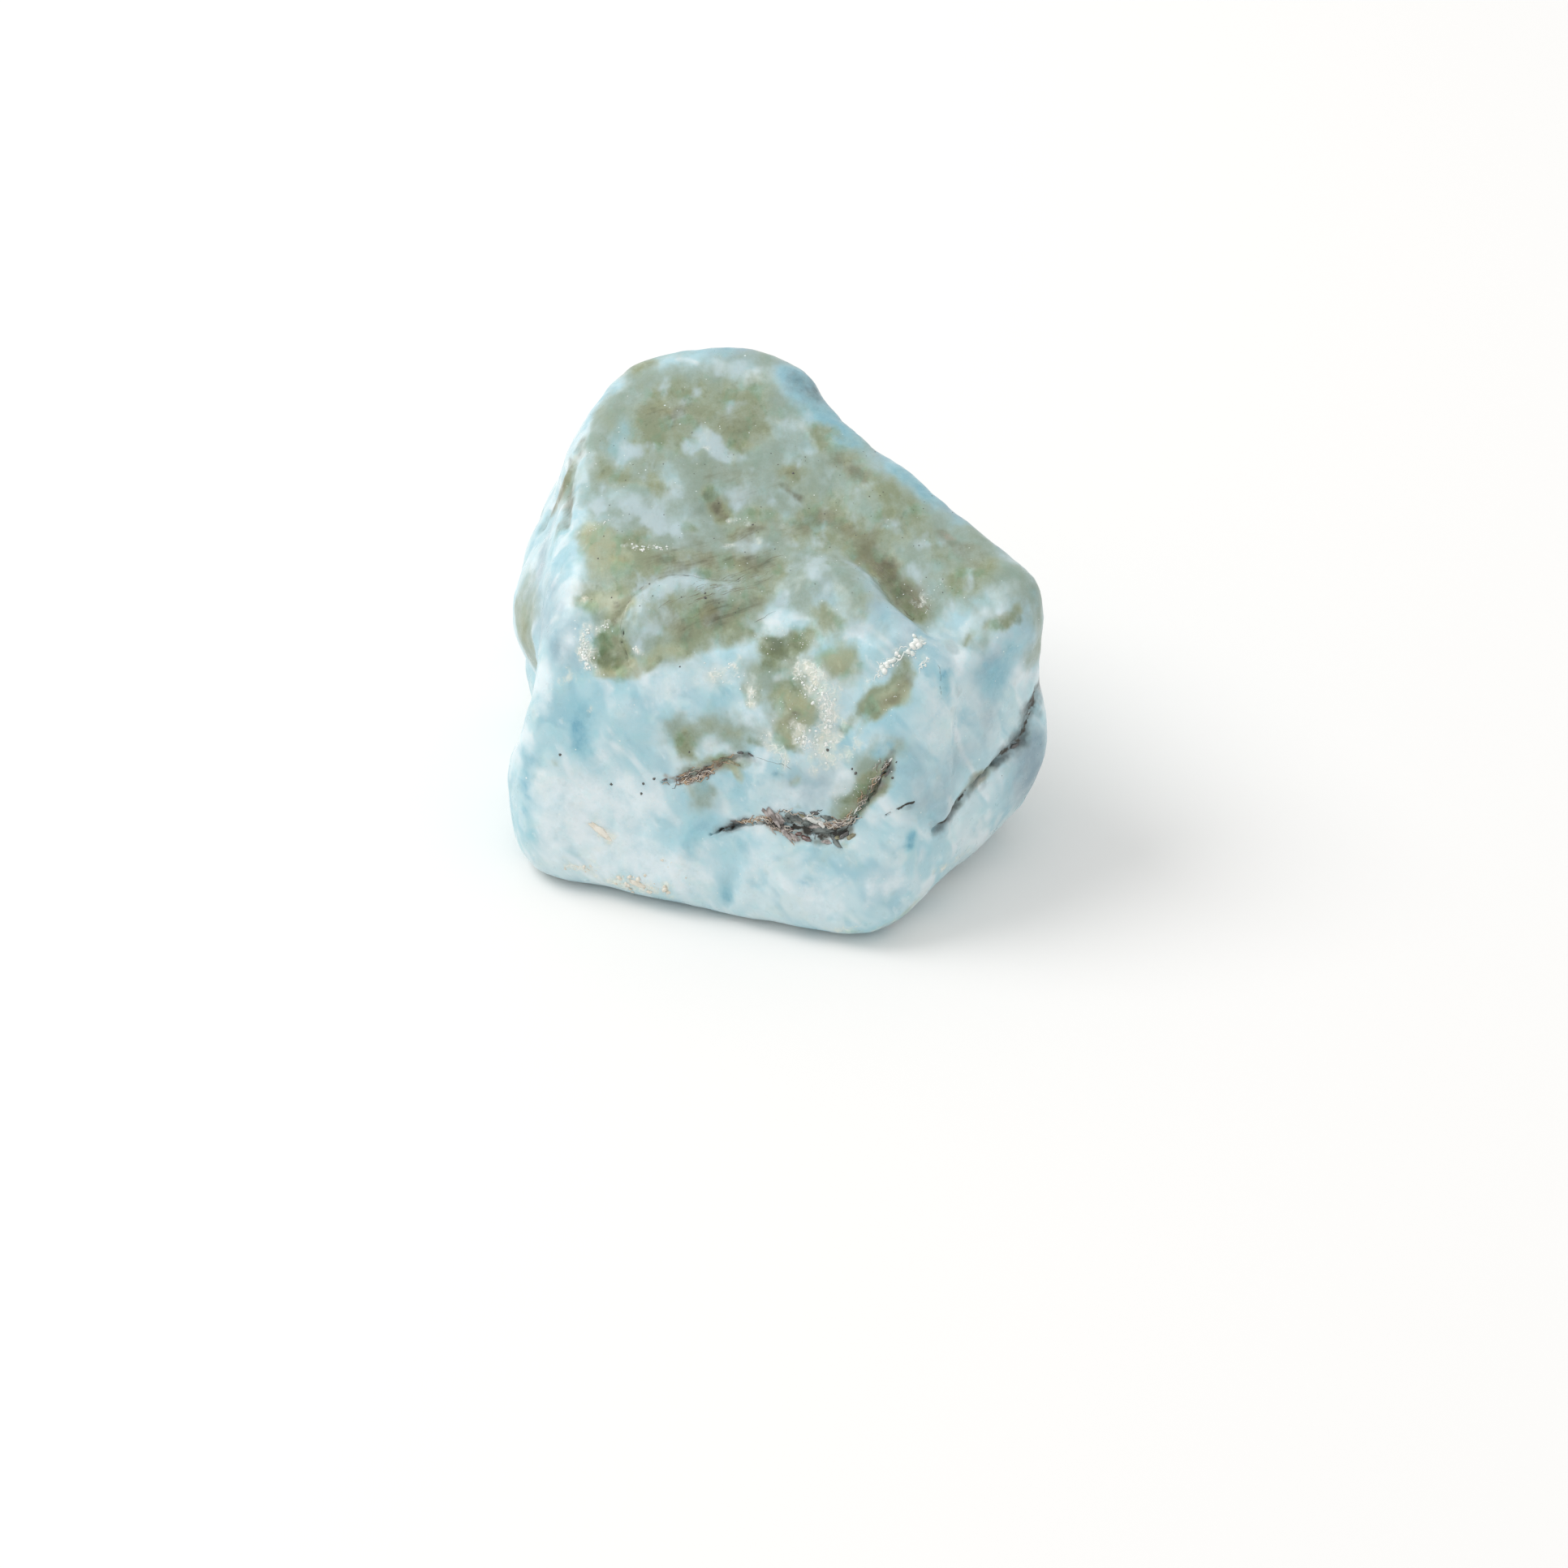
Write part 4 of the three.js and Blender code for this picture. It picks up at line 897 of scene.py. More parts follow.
# The stain varies from grain to grain, and the clear stone a little: by how much each mottle
# multiplies red, green and blue, its size in millimetres, and where it starts and is full.
MOTTLES = (
    ((0.8, 1.0, 0.99), 0.9, 0.5, 0.68),
    ((1.06, 1.01, 0.92), 1.1, 0.52, 0.7),
    ((1.17, 1.17, 1.19), 0.5, 0.55, 0.74),
    ((0.77, 0.78, 0.75), 0.35, 0.56, 0.76),
)
MOTTLES_APART = 13.1
stained = add(tree, "Math", {"operation": "MAXIMUM"}, Value=[covers["olive"], covers["straw"]])
stained = add(tree, "MapRange", Value=stained, To_Min=0.25, To_Max=0.9)
for number, (gain, size, starts, full) in enumerate(MOTTLES):
    apart = add(tree, "VectorMath", PLUS, Vector=[front_to_back, (0, 0, MOTTLES_APART * number)])
    mottle = add(tree, "TexNoise", Vector=apart, Scale=1 / size, Detail=2, Distortion=0.3)
    mottle = add(tree, "MapRange", SMOOTH, Value=mottle, From_Min=starts, From_Max=full)
    mottle = add(tree, "Math", TIMES, Value=[mottle, stained])
    colour = add(tree, "Mix", TINT_WITH, Factor=mottle, A=colour, B=(*gain, 1))

# Fine unevenness of the skin: what it follows, how high it stands, and how much of it shows. The
# olive rind is worn a little lower than the clear stone.
relief = None
for pattern, height, strength in (
    (lumpy, 0.03, 0.5), (grainy, 0.008, 0.5), (covers["olive"], -0.05, 0.5), (lace, 0.05, 0.6),
):
    below = {"Normal": relief} if relief else {}
    relief = add(tree, "Bump", Height=pattern, Distance=height * MM, Strength=strength, **below)
waxy = add(tree, "MapRange", Value=lumpy, From_Min=0.3, From_Max=0.7, To_Min=0.26, To_Max=0.42)
surface = add(tree, "BsdfPrincipled", {"subsurface_method": "RANDOM_WALK"}, Base_Color=colour,
              Roughness=waxy, IOR=1.6, Specular_IOR_Level=0.35, Subsurface_Weight=0.15,
              Subsurface_Radius=(0.6, 0.9, 1.0), Subsurface_Scale=0.8 * MM, Normal=relief)
add(tree, "OutputMaterial", Surface=surface)
stone_mesh.materials.clear()
stone_mesh.materials.append(larimar)
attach(stone, "root")
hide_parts(STONE_NODE)

# ---- The threads in the pockets ------------------------------------------------------------
# Rusty threads of iron oxide and pale needles of pectolite lie tangled on the floor of the two
# pockets, and black threads of manganese line their deepest parts, where they also paint in shade.
skin_tree = BVHTree.FromPolygons([vertex.co / MM for vertex in stone_mesh.vertices],
                                 [tuple(face.vertices) for face in stone_mesh.polygons])
rng = np.random.default_rng(11)

# Where they lie on the skin, in millimetres.
UPPER_LEFT = [(-6.1, -12.9, 7.2), (-5.3, -12.9, 7.4), (-4.6, -13, 7.6)]
UPPER_PART = [(-5.1, -13, 7.5), (-4.2, -13.1, 7.8), (-3.4, -13.1, 8.2)]
UPPER_TIP = [(-3.4, -13.1, 8.5), (-2.6, -13.3, 8.9), (-1.6, -13.5, 9.4)]
UPPER_CURL = [(-5.4, -13, 7.2), (-5.2, -12.9, 7.6), (-4.9, -13, 7.6), (-4.4, -13.1, 7.4)]
LOWER_TAIL = [(-2.9, -14.3, 5.1), (-2.4, -14.3, 5.4), (-1.6, -14.3, 5.8)]
LOWER_LOOP = [(-1.8, -14.4, 5.7), (-0.8, -14.6, 6.1), (0, -14.9, 6.2)]
LOWER_LEFT = [(-0.7, -14.7, 6.1), (0.1, -15, 5.7), (0.9, -15.5, 5.3)]
LOWER_TOP = [(0.2, -14.8, 6.6), (1.2, -15, 6.7), (2.2, -15.2, 6.7), (3, -15.5, 6.3)]
LOWER_RIGHT = [(2.6, -15.5, 6.3), (3.6, -15.5, 6.4), (4.3, -15.5, 6.7)]
BRANCH = [(3.6, -15.5, 6.6), (4.1, -15.4, 7), (4.6, -15.2, 7.8), (5.2, -15.1, 8.7), (6, -14.8, 10)]

# Each bundle: its line, how many threads, their lengths and half-thicknesses, how far they spread
# beside the line, and how much they fan out.
BUNDLES = {
    "rusty_threads": [
        (UPPER_LEFT, 5, (0.4, 0.8), (0.02, 0.03), 0.03, 0.05),
        (UPPER_PART, 34, (0.35, 0.9), (0.02, 0.04), 0.16, 0.14),
        (UPPER_TIP, 7, (0.3, 0.7), (0.015, 0.025), 0.12, 0.12),
        (LOWER_LOOP, 12, (0.5, 1.0), (0.02, 0.035), 0.07, 0.08),
        (LOWER_LEFT, 6, (0.3, 0.7), (0.02, 0.03), 0.15, 0.05),
        (LOWER_RIGHT, 8, (0.6, 1.1), (0.02, 0.03), 0.12, 0.08),
        (BRANCH, 12, (0.4, 0.9), (0.015, 0.03), 0.1, 0.08),
    ],
    "pale_needles": [
        (UPPER_PART, 16, (0.3, 0.8), (0.015, 0.03), 0.16, 0.15),
        (LOWER_LOOP, 8, (0.4, 0.9), (0.02, 0.03), 0.06, 0.08),
        (LOWER_LEFT, 18, (0.3, 0.7), (0.02, 0.035), 0.16, 0.05),
        (LOWER_TOP, 8, (0.3, 0.8), (0.02, 0.03), 0.1, 0.15),
        (LOWER_RIGHT, 14, (0.5, 1.1), (0.02, 0.035), 0.14, 0.1),
        (BRANCH, 12, (0.3, 0.7), (0.015, 0.025), 0.14, 0.15),
    ],
    "black_shading_threads": [
        (UPPER_PART, 9, (0.3, 0.7), (0.015, 0.03), 0.14, 0.14),
        (UPPER_CURL, 3, (0.7, 0.9), (0.02, 0.03), 0.02, 0.02),
        (LOWER_TAIL[1:], 5, (0.6, 1.0), (0.02, 0.04), 0.04, 0.04),
        (LOWER_TAIL, 3, (0.9, 1.2), (0.015, 0.025), 0.02, 0.02),
        (LOWER_LEFT, 5, (0.3, 0.6), (0.02, 0.035), 0.12, 0.05),
        (LOWER_TOP, 5, (0.5, 0.9), (0.02, 0.035), 0.05, 0.06),
        (BRANCH, 6, (0.5, 1.0), (0.015, 0.025), 0.03, 0.04),
    ],
}
LIFTS = {"rusty_threads": (0.02, 0.12), "pale_needles": (0.06, 0.2), "black_shading_threads": (0, 0.06)}
BUNDLE_ENDS = 0.02  # the share of a bundle's line, at each end, that has no thread's middle
THREAD_SIDES = 6
THREAD_STEPS = 9
THREAD_BEND = 0.25  # of its length
THREAD_SWAYS = ((0.1, 2.2), (0.05, 6))  # how far, of its length, and how many half-turns
THREAD_SINKS = 0.3  # of its half-thickness
THREAD_TIP = 0.35  # of its half-thickness


def on_skin(place):
    """The spot of the skin nearest to a place, and the way out of the stone there."""
    spot, out, _, _ = skin_tree.find_nearest(Vector(place))
    return spot, out


def add_thread(shape, path, thicknesses):
    """Adds a closed thread along a path that lies on the skin, as thick as given at each point."""
    rings = []
    for i, (spot, thickness) in enumerate(zip(path, thicknesses)):
        ahead = (path[min(i + 1, len(path) - 1)] - path[max(i - 1, 0)]).normalized()
        aside = ahead.cross(on_skin(spot)[1]).normalized()
        above = aside.cross(ahead)
        turns = np.arange(THREAD_SIDES) / THREAD_SIDES * 2 * np.pi
        rings.append([shape.verts.new(spot + (aside * np.cos(t) + above * np.sin(t)) * thickness)
                      for t in turns])
    for ring, following in zip(rings, rings[1:]):
        for k in range(THREAD_SIDES):
            n = (k + 1) % THREAD_SIDES
            shape.faces.new((ring[k], ring[n], following[n], following[k]))
    shape.faces.new(rings[0][::-1])
    shape.faces.new(rings[-1])


def add_wavy_thread(shape, start, heading, length, thickness, lift):
    """Adds a thread that wanders over the skin from a spot, rising a little in its middle."""
    spot, out = on_skin(start)
    ahead = (heading - out * heading.dot(out)).normalized()
    path = []
    bend = rng.normal(0, THREAD_BEND)
    waves = rng.uniform(0, 2 * np.pi, 2)
    for step in np.linspace(0, 1, THREAD_STEPS):
        aside = ahead.cross(out)
        sway = bend * step ** 2
        for (far, half_turns), wave in zip(THREAD_SWAYS, waves):
            sway += far * np.sin(half_turns * np.pi * step + wave)
        place, up = on_skin(spot + ahead * (step - 0.5) * length + aside * sway * length)
        path.append(place + up * (lift * np.sin(np.pi * step) - THREAD_SINKS * thickness))
    swelling = np.sin(np.pi * np.linspace(0.03, 0.97, THREAD_STEPS)) ** 0.6
    add_thread(shape, path, thickness * (THREAD_TIP + (1 - THREAD_TIP) * swelling))


def lengths_along(line):
    """How long a line is up to each of its points."""
    return np.concatenate([[0], np.cumsum(np.linalg.norm(np.diff(line, axis=0), axis=1))])


def spot_along(line, share):
    """The place at that share of a line's length, and the heading of the line there."""
    line = np.array(line, float)
    run = lengths_along(line)
    at = share * run[-1]
    place = [np.interp(at, run, axis) for axis in line.T]
    k = min(np.searchsorted(run, at, side="right"), len(line) - 1)
    return np.array(place), Vector(line[k] - line[k - 1]).normalized()


def add_bundle(shape, line, count, lengths, thicknesses, spread, fan, lifts=None, ends=0):
    """Adds threads strewn along a line on the skin, each turned a little out of its heading."""
    for _ in range(count):
        place, heading = spot_along(line, rng.uniform(ends, 1 - ends))
        aside = heading.cross(on_skin(place)[1]).normalized()
        turn = rng.normal(0, fan)
        start = Vector(place) + aside * rng.normal(0, spread)
        heading = heading * np.cos(turn) + aside * np.sin(turn)
        length = rng.uniform(*lengths)
        thickness = rng.uniform(*thicknesses)
        lift = rng.uniform(*lifts) if lifts else 0
        add_wavy_thread(shape, start, heading, length, thickness, lift)


def joined_piece(name, shape, slot, material):
    """Makes one piece of everything in the shape, which is in millimetres, and fixes it to the stone."""
    bmesh.ops.recalc_face_normals(shape, faces=shape.faces)
    mesh = bpy.data.meshes.new(name)
    shape.to_mesh(mesh)
    shape.free()
    mesh.transform(Matrix.Scale(MM, 4))
    mesh.polygons.foreach_set("use_smooth", [True] * len(mesh.polygons))
    mesh.materials.append(material)
    piece = place_in_scene(name, mesh)
    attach(piece, "root")


def mineral(name, dark, light, patch, roughness, ior):
    """A mineral of two colours that mingle in patches of that size, in millimetres."""
    material, tree = empty_material(name)
    place = add(tree, "TexCoord").node.outputs["Object"]
    patches = add(tree, "TexNoise", Vector=place, Scale=MM_PER_METRE / patch, Detail=3)
    mingle = add(tree, "MapRange", SMOOTH, Value=patches, From_Min=0.38, From_Max=0.62)
    colour = add(tree, "Mix", COVER_WITH, Factor=mingle, A=linear(dark), B=linear(light))
    relief = add(tree, "Bump", Height=patches, Distance=0.01 * MM, Strength=0.5)
    surface = add(tree, "BsdfPrincipled", Base_Color=colour, Roughness=roughness, IOR=ior, Normal=relief)
    add(tree, "OutputMaterial", Surface=surface)
    return material


THREAD_FINISHES = {
    # tan-brown fibres with a dull metallic glint
    "rusty_threads": ("iron_oxide", mineral("rusty_iron_oxide", "#6b4f36", "#b8956b", 0.4, 0.45, 2.4)),
    # cream fibres with a silky sheen
    "pale_needles": ("white_crust",
                     mineral("silky_pectolite_needles", "#b3a79b", "#ded8cd", 0.5, 0.3, 1.6)),
    # sooty fibres, partly manganese and partly painted shade that makes the pockets look deep
    "black_shading_threads": ("iron_oxide",
                      mineral("black_manganese_and_shade", "#24221f", "#4d4a44", 0.3, 0.4, 2.2)),
}
for name, bundles in BUNDLES.items():
    shape = bmesh.new()
    for bundle in bundles:
        add_bundle(shape, *bundle, LIFTS[name], BUNDLE_ENDS)
    joined_piece(name, shape, *THREAD_FINISHES[name])

# ---- The hairline seams -----------------------------------------------------------------------
# Hair-fine seams of dark oxide where the stone healed: one runs round the low boss on the top and
# others cross the front. Thin brown growth lines slant over the boss and down the valley.
# Each seam: its half-thickness and the line that it follows, in millimetres.
DARK_SEAMS = [
    (0.015, [(-8.15, -9.1, 13.9), (-8.3, -8.7, 14.3), (-8.25, -8.2, 14.65), (-8, -7.7, 14.95)]),
    (0.02, [(-8, -7.7, 14.95), (-7.6, -7, 15.2), (-6.8, -6.1, 15.6)]),
    (0.026, [(5.5, -15.7, 6.9), (6.3, -15.6, 7.3), (7.4, -15.4, 7.8)]),
    (0.02, [(-6.8, -6.1, 15.6), (-5.9, -5.8, 15.8), (-4.6, -5.6, 15.8), (-3.6, -5.9, 15.7),
            (-2, -5.8, 15.7)]),
    (0.02, [(-1.6, -13.5, 9.4), (-0.6, -13.9, 9.3), (0.6, -14.2, 9.1), (1.2, -14.4, 8.8)]),
    (0.02, [(-1.6, -9, 14.7), (-0.6, -8.4, 14.9), (0.2, -7.9, 15)]),
    (0.02, [(8.2, -10.4, 14), (8.5, -11.4, 13), (8.4, -12.4, 11.8)]),
]
SEAM_WANDER = ((0.12, 0.7), (0.04, 0.2))
SEAM_STEP = 0.12
SEAM_SINKS = 0.4  # of its half-thickness

# Growth lines: how many, the line that their middles lie on, their heading, and how far the
# middles stray from it.
GROWTH_LINES = [
    (46, ((-4.6, -7.8, 15.2), (-0.6, -5, 15.8)), (0.87, 0.5, 0), (0.9, 0.5, 0)),
    (20, ((4.6, -3.8, 15.8), (7.6, -7.4, 14.8)), (0.64, -0.77, 0), (0.35, 0.35, 0)),
]
GROWTH_REACH = (0.4, 1.2)  # from the middle to each end
GROWTH_BEND = 0.1
GROWTH_THICKNESS = (0.014, 0.028)


def add_seam(shape, line, thickness):
    """Adds a hair-fine seam that follows a line on the skin, a little crookedly."""
    line = np.array(line, float)
    run = lengths_along(line)
    stops = np.linspace(0, run[-1], int(run[-1] / SEAM_STEP) + 2)
    places = np.stack([np.interp(stops, run, axis) for axis in line.T], axis=1)
    path = []
    for place in wander(places, SEAM_WANDER):
        spot, out = on_skin(place)
        path.append(spot - out * thickness * SEAM_SINKS)
    shares = np.linspace(0.02, 0.98, len(path))
    breaks = [0.7 + 0.5 * noise.noise(Vector(place) * 2.5) for place in places]
    add_thread(shape, path, thickness * np.sin(np.pi * shares) ** 0.5 * breaks)


shape = bmesh.new()
for thickness, line in DARK_SEAMS:
    add_seam(shape, line, thickness)
# a dull grey-black hairline
joined_piece("dark_seams", shape, "iron_oxide",
             mineral("dark_seam_oxide", "#34352f", "#5f6055", 0.3, 0.5, 1.9))

shape = bmesh.new()
for count, middles, heading, spread in GROWTH_LINES:
    for share in rng.uniform(0, 1, count):
        middle = spot_along(middles, share)[0] + rng.normal(0, spread)
        reach = rng.uniform(*GROWTH_REACH) * np.array(heading)
        bend = (0, rng.normal(0, GROWTH_BEND), 0)
        add_seam(shape, [middle - reach, middle + bend, middle + reach], rng.uniform(*GROWTH_THICKNESS))
# a faint brown hairline, little darker than the rind
joined_piece("growth_lines", shape, "iron_oxide",
             mineral("brown_growth_line", "#6b6654", "#8a8571", 0.4, 0.5, 1.6))

# ---- The grains in the pockets ---------------------------------------------------------------
# Among the threads sit small worn grains: clouded lilac shards, smooth grey ones, flakes of white
# quartz, white points painted in as glints, rusty, tan and black ones, each half sunk in the stone.
# Each grain: where, its length, width and height in millimetres, and its turn in degrees.
GRAINS = {
    "lilac_shards": [
        ((-0.2, -14.9, 6.3), (1.2, 0.3, 0.3), -56), ((-0.6, -14.7, 6.4), (0.7, 0.2, 0.2), -40),
        ((0.1, -15.1, 6), (0.9, 0.26, 0.28), -64), ((0.5, -15.3, 5.7), (0.9, 0.3, 0.3), -60),
        ((0.9, -15.5, 5.5), (0.7, 0.25, 0.25), -40), ((0.2, -14.9, 6.3), (0.6, 0.22, 0.25), -50),
        ((1.9, -15.5, 5.9), (0.7, 0.3, 0.25), 15), ((3.2, -15.5, 6.3), (0.8, 0.25, 0.2), 12),
        ((2.6, -15.9, 5.5), (0.6, 0.25, 0.2), -20),
    ],
    "smoky_grains": [
        ((0.9, -15, 6.4), (0.9, 0.42, 0.3), -12), ((2.4, -15.7, 5.9), (1.3, 0.4, 0.3), 6),
        ((3.5, -15.7, 6.1), (0.7, 0.35, 0.25), 25), ((1.5, -15.3, 6.1), (0.6, 0.3, 0.25), 20),
        ((3.1, -16, 5.6), (0.9, 0.28, 0.22), -58), ((0.6, -15.1, 6.1), (0.6, 0.25, 0.2), -30),
        ((2.7, -15.3, 6.6), (0.7, 0.2, 0.2), -8),
    ],
    "black_grains": [
        ((3.5, -15.8, 5.9), (0.6, 0.3, 0.25), 30), ((-2.1, -14.3, 5.5), (0.9, 0.26, 0.14), 14),
        ((5.8, -15.1, 9.2), (0.6, 0.1, 0.1), 60), ((-1.9, -13.4, 9.4), (0.32, 0.22, 0.14), 0),
        ((-1.4, -13.5, 9.4), (0.5, 0.12, 0.1), -6), ((-4.3, -13.1, 7.9), (0.25, 0.16, 0.12), 20),
        ((-3.7, -13.1, 8.2), (0.28, 0.18, 0.12), 20), ((2, -15.2, 6.8), (0.5, 0.18, 0.16), -8),
        ((1.7, -15.6, 5.9), (0.5, 0.2, 0.2), 30), ((12.9, -9.5, 7.5), (0.7, 0.25, 0.12), 35),
    ],
    "rusty_grains": [
        ((1.5, -15.6, 5.7), (0.55, 0.3, 0.3), -30), ((1.2, -15.5, 5.8), (0.3, 0.2, 0.25), 10),
        ((0.8, -15.2, 5.9), (0.3, 0.2, 0.2), 0), ((-5.9, -12.9, 7.3), (0.3, 0.13, 0.1), 0),
    ],
    "tan_grains": [
        ((3.9, -15.9, 5.8), (0.6, 0.24, 0.18), 22), ((3.2, -15.9, 5.8), (0.4, 0.25, 0.2), 10),
        ((-2.3, -13.4, 8.8), (0.7, 0.14, 0.12), -18), ((1.3, -15.2, 6.6), (0.5, 0.14, 0.14), -20),
    ],
    "white_grains_and_glints": [
        ((1.9, -15.3, 6.4), (0.8, 0.32, 0.22), -14), ((2.4, -15.4, 6.2), (0.5, 0.3, 0.22), -50),
        ((1.5, -15.3, 6.5), (0.4, 0.14, 0.14), 40), ((5.4, -15, 8.9), (0.28, 0.09, 0.1), 50),
        ((6, -14.8, 9.9), (0.26, 0.09, 0.1), 60), ((-4.4, -13.1, 7.7), (0.3, 0.1, 0.1), -30),
        ((-3.9, -13.1, 7.8), (0.3, 0.1, 0.1), -60), ((4.2, -15.4, 7.1), (0.5, 0.08, 0.1), 60),
    ],
}
GRAIN_LUMPS = ((0.5, 2.5), (0.3, 7))  # how far they stand out, and how closely they lie


def add_grain(shape, place, size, turn, roundness=3):
    """Adds one uneven worn grain, half sunk in the skin and turned about the way out of the stone."""
    spot, out = on_skin(place)
    across = Vector((1, 0, 0)) - out * out.x
    across.normalize()
    frame_of_grain = Matrix((across, out.cross(across), out)).transposed()
    cos, sin = np.cos(np.radians(turn)), np.sin(np.radians(turn))
    grain = bmesh.ops.create_icosphere(shape, subdivisions=roundness, radius=0.5)["verts"]
    odd = Vector(rng.uniform(-50, 50, 3))
    for vertex in grain:
        swell = 1
        for height, closely in GRAIN_LUMPS:
            swell += height * noise.noise(vertex.co * closely + odd)
        x, y, z = (length * share * swell for length, share in zip(size, vertex.co))
        vertex.co = spot + frame_of_grain @ Vector((x * cos - y * sin, x * sin + y * cos, z))


GRAIN_FINISHES = {
    # a milky grey-lilac gloss
    "lilac_shards": ("iron_oxide", mineral("clouded_lilac_shard", "#7a716d", "#bab2ae", 0.4, 0.3, 1.6)),
    # a smooth grey gloss, like a wet pebble
    "smoky_grains": ("iron_oxide", mineral("smooth_smoky_grain", "#4a514f", "#7c8582", 0.5, 0.25, 1.55)),
    # near-black points with a small highlight
    "black_grains": ("iron_oxide", mineral("black_worn_oxide", "#1e1d1b", "#3f3c38", 0.2, 0.35, 2.2)),
    # the one warm red-brown in the pockets
    "rusty_grains": ("iron_oxide", mineral("rusty_worn_oxide", "#43241b", "#6e3c2d", 0.3, 0.4, 2.4)),
    # a quiet olive-tan between the dark grains
    "tan_grains": ("iron_oxide", mineral("waxy_tan_grain", "#79755c", "#a39f82", 0.4, 0.4, 1.6)),
    # a glassy white flake, and white points that paint glints into the pockets
    "white_grains_and_glints": ("white_crust",
                     mineral("white_quartz_and_painted_glints", "#cfd2cd", "#f2f2ee", 0.3, 0.15, 1.55)),
}
for name, grains in GRAINS.items():
    shape = bmesh.new()
    for grain in grains:
        add_grain(shape, *grain)
    joined_piece(name, shape, *GRAIN_FINISHES[name])

# ---- The white crust -----------------------------------------------------------------------
# A crust of white calcite clings to the brow and the edges of the top: crooked glassy chips and
# grains on the right-hand corner, and scattered smaller grains along the rest.
# Each bundle of chips is given like one of threads.
CHIP_BUNDLES = [
    ([(7.6, -10.3, 14.3), (6.9, -10.8, 14.2), (6.2, -11, 14.1)], 3, (0.8, 1.2), (0.025, 0.045), 0.1, 0.05),
    ([(6.6, -11, 14.1), (5.9, -11.5, 13.9), (5.3, -11.6, 13.8)], 2, (0.7, 1.0), (0.02, 0.035), 0.14, 0.05),
    ([(5.4, -11.6, 13.8), (5.3, -12.1, 13.4), (5, -12.4, 13)], 3, (0.5, 0.8), (0.02, 0.035), 0.08, 0.08),
    ([(7.9, -11, 13.8), (7.6, -11.6, 13.6)], 4, (0.5, 0.8), (0.02, 0.035), 0.05, 0.08),
    ([(7.3, -10.5, 14.3), (7.7, -10.3, 14.4)], 7, (0.3, 0.6), (0.06, 0.1), 0.1, 0.3),
    ([(2.6, -12.5, 12.6), (2.9, -13.2, 11.6)], 8, (0.4, 0.9), (0.02, 0.04), 0.12, 0.25),
    ([(1.3, -13.7, 11), (2.1, -13.9, 9.9)], 5, (0.3, 0.7), (0.02, 0.035), 0.2, 0.4),
    ([(0, -14, 10), (0.6, -14.2, 9.2)], 4, (0.3, 0.6), (0.02, 0.03), 0.1, 0.3),
]
# Each scatter: its line, how many grains, their sizes in millimetres, and the spread beside it.
WHITE_SCATTERS = [
    # right-hand corner
    ([(7.6, -10.4, 14.3), (7.2, -10.8, 14.2)], 14, (0.16, 0.42), 0.14),
    ([(7.2, -10.8, 14.2), (6.3, -11.4, 14), (5.7, -11.7, 13.8), (5.3, -12.2, 13.4)],
     36, (0.06, 0.34), 0.16),
    ([(8, -11, 13.8), (7.8, -11.5, 13.6)], 9, (0.05, 0.18), 0.1),
    # left of the top
    ([(-7.9, -3.3, 16.2), (-7.2, -3.8, 16.1), (-6.7, -3.3, 16.2), (-6.3, -3.7, 16.2), (-5.8, -3.3, 16.2)],
     60, (0.03, 0.16), 0.1),
    ([(-10.1, -8.3, 14), (-10.3, -9, 13.4), (-10, -9.9, 12.4)], 110, (0.03, 0.2), 0.15),
    ([(-9.6, -8.3, 14.1), (-8.9, -8.4, 14.2)], 14, (0.03, 0.12), 0.1),
    ([(-7.5, -9.6, 13.7), (-7.5, -9.9, 13.4)], 10, (0.04, 0.14), 0.08),
    ([(-10.1, -2, 16.1), (-9, -1.3, 16.4)], 16, (0.03, 0.1), 0.14),
    # brow
    ([(-3.9, -11.2, 13.3), (-2.4, -11.4, 13.2), (-1.2, -12.6, 12.2)], 26, (0.03, 0.1), 0.35),
    ([(1.2, -11.8, 13.4), (2.6, -12.8, 12.4), (2.9, -13.5, 11.1)], 90, (0.03, 0.2), 0.25),
    ([(1.3, -13.7, 10.9), (2, -13.9, 10.2), (3, -13.8, 10)], 66, (0.03, 0.18), 0.35),
    ([(-0.7, -13.5, 10.6), (0, -13.9, 9.9), (0.6, -14.2, 9.3)], 22, (0.03, 0.1), 0.2),
    ([(5, -11.8, 13.6), (6.4, -11.1, 14), (8, -10.6, 14.2)], 14, (0.03, 0.09), 0.3),
    # along the lower pocket, in the valley, and on the stains of the brow and the top
    ([(3, -15.1, 7.4), (4.6, -15, 8.4), (6, -14.8, 10)], 30, (0.03, 0.07), 0.25),
    ([(7.2, -7.2, 14.8), (8.4, -6.4, 15.1), (9.4, -5.4, 15.6)], 30, (0.03, 0.09), 0.6),
    ([(-0.6, -10.8, 13.9), (0, -9.8, 14.4), (1.4, -9.6, 14.5), (1.2, -10.8, 14)], 34, (0.03, 0.08), 0.3),
    ([(0.4, -12.8, 12.6), (1.2, -13.3, 11.8), (0.7, -13.8, 11)], 26, (0.03, 0.08), 0.5),
    ([(7, -12.2, 13.3), (5.6, -13.3, 12)], 8, (0.04, 0.08), 0.2),
    ([(-2.8, -0.7, 16.5), (-1.4, -0.8, 16.4)], 8, (0.03, 0.07), 0.2),
]
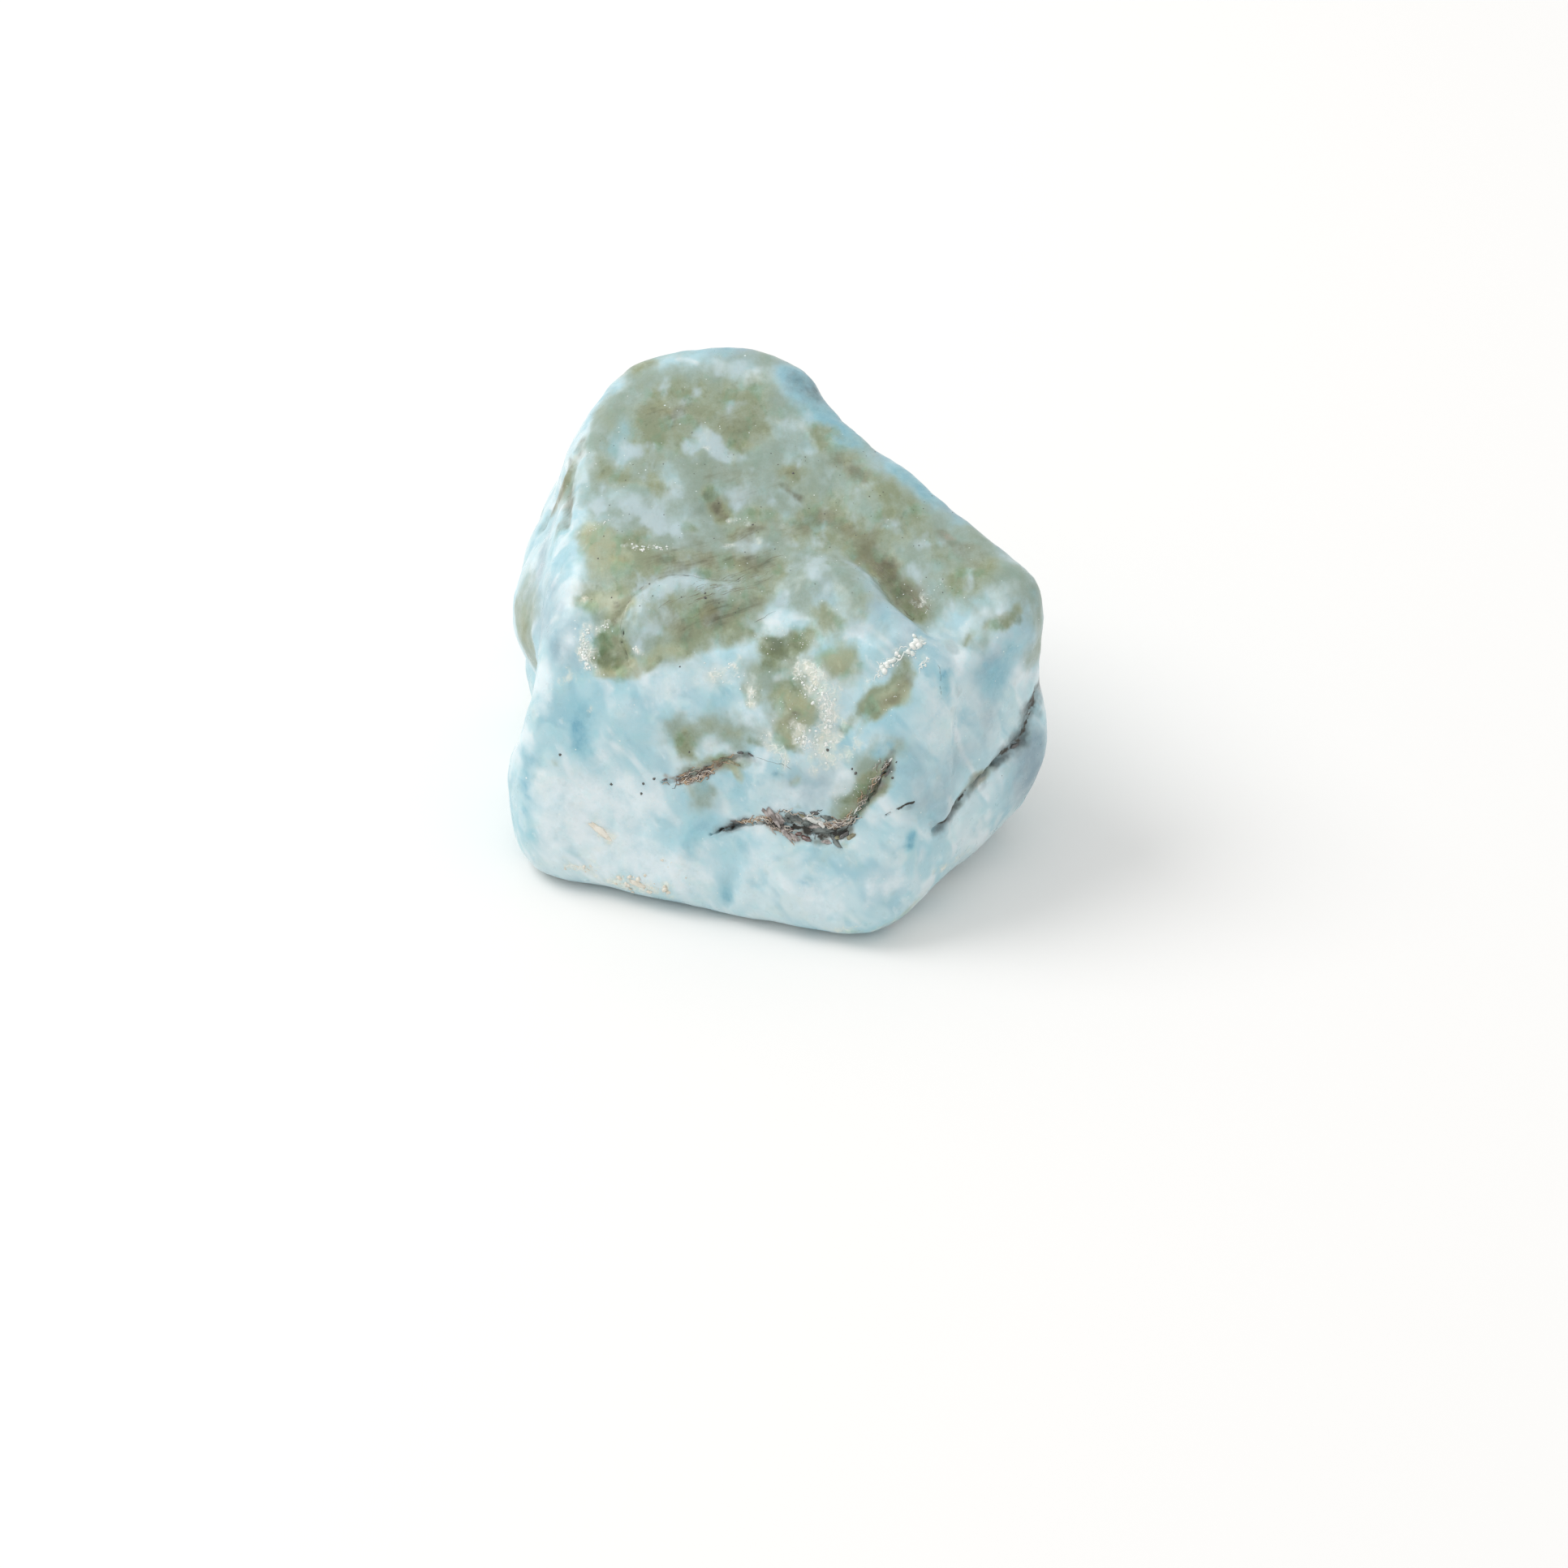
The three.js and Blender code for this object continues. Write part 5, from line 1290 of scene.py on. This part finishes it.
# Low in the front it is cream, with two smooth flakes of it that lie flat, each given like a
# grain in the pockets.
CREAM_SCATTERS = [
    ([(-8.8, -13.5, 1.3), (-7.4, -13.9, 1.5), (-5.6, -14.5, 1.4)], 40, (0.06, 0.32), 0.22),
    ([(-11.4, -12.6, 1.8), (-9.6, -13.3, 1.6)], 14, (0.06, 0.2), 0.15),
    ([(-6, -14.1, 3.4), (-4.4, -14.8, 2)], 10, (0.05, 0.14), 0.2),
]
CREAM_FLAKES = [((-9.4, -12.9, 4.1), (1.4, 0.4, 0.1), -38), ((-7.4, -13.9, 1.5), (1.0, 0.3, 0.1), -12)]


def add_scatter(shape, line, count, sizes, spread):
    """Adds worn grains scattered along a line on the skin, most of them small."""
    for _ in range(count):
        place, heading = spot_along(line, rng.uniform(0, 1))
        aside = heading.cross(on_skin(place)[1]).normalized()
        size = sizes[0] + (sizes[1] - sizes[0]) * rng.uniform(0, 1) ** 2
        spot = Vector(place) + aside * rng.normal(0, spread)
        add_grain(shape, spot, (size * rng.uniform(1, 1.6), size, size * 0.6), rng.uniform(0, 180), 1)


shape = bmesh.new()
for bundle in CHIP_BUNDLES:
    add_bundle(shape, *bundle)
for scatter in WHITE_SCATTERS:
    add_scatter(shape, *scatter)
# bright glassy white that glints
joined_piece("white_crust", shape, "white_crust",
             mineral("glassy_white_calcite", "#dfe8e3", "#f6f7f2", 0.3, 0.16, 1.6))

shape = bmesh.new()
for scatter in CREAM_SCATTERS:
    add_scatter(shape, *scatter)
for flake in CREAM_FLAKES:
    add_grain(shape, *flake)
# a matt warm white
joined_piece("cream_crust", shape, "white_crust",
             mineral("matt_cream_crust", "#d9d2c1", "#ece7da", 0.4, 0.5, 1.6))

# ---- The dark specks -----------------------------------------------------------------------
# Pin-head specks of black oxide in the stone, a few in pairs, and more of them on the weathered
# top. Each is a low dome, half as high as it is wide.
SPECK_PLACES = [
    (4, -14.6, 9.2), (4.2, -14.7, 9), (2.7, -14, 10), (6.3, -14.9, 9.8), (6.1, -15.2, 9),
    (-3.8, -7.2, 15.5), (-3.8, -7.5, 15.4), (-6.8, -6.4, 15.7), (-9.6, -4.2, 15.9), (-8.8, -6.9, 15.1),
    (-5.1, -10.7, 13.1), (-11.6, -11.4, 8), (-9, -12.9, 6.9), (-7.2, -13, 6.6), (-7.1, -12.8, 7.1),
    (-6.5, -12.8, 7.4), (-4.6, -12.6, 9), (-1.3, -1.3, 16.4), (0.9, 2.6, 17.4),
]
SPECK_SIZES = (0.09, 0.16)
SCATTERED_SPECKS = 110
SCATTERED_SIZES = (0.04, 0.09)
SCATTERED_OVER = ((-10, 10), (-9, 6))  # of the top, in x and in y
ABOVE_TOP = 17

shape = bmesh.new()
for place in SPECK_PLACES:
    size = rng.uniform(*SPECK_SIZES)
    add_grain(shape, place, (size, size, size * 0.5), 0, 2)
for _ in range(SCATTERED_SPECKS):
    size = rng.uniform(*SCATTERED_SIZES)
    x, y = (rng.uniform(*span) for span in SCATTERED_OVER)
    add_grain(shape, (x, y, ABOVE_TOP), (size, size, size * 0.5), 0, 1)
# matt black points
joined_piece("dark_specks", shape, "iron_oxide",
             mineral("black_oxide_speck", "#262621", "#45443b", 0.1, 0.5, 2.0))
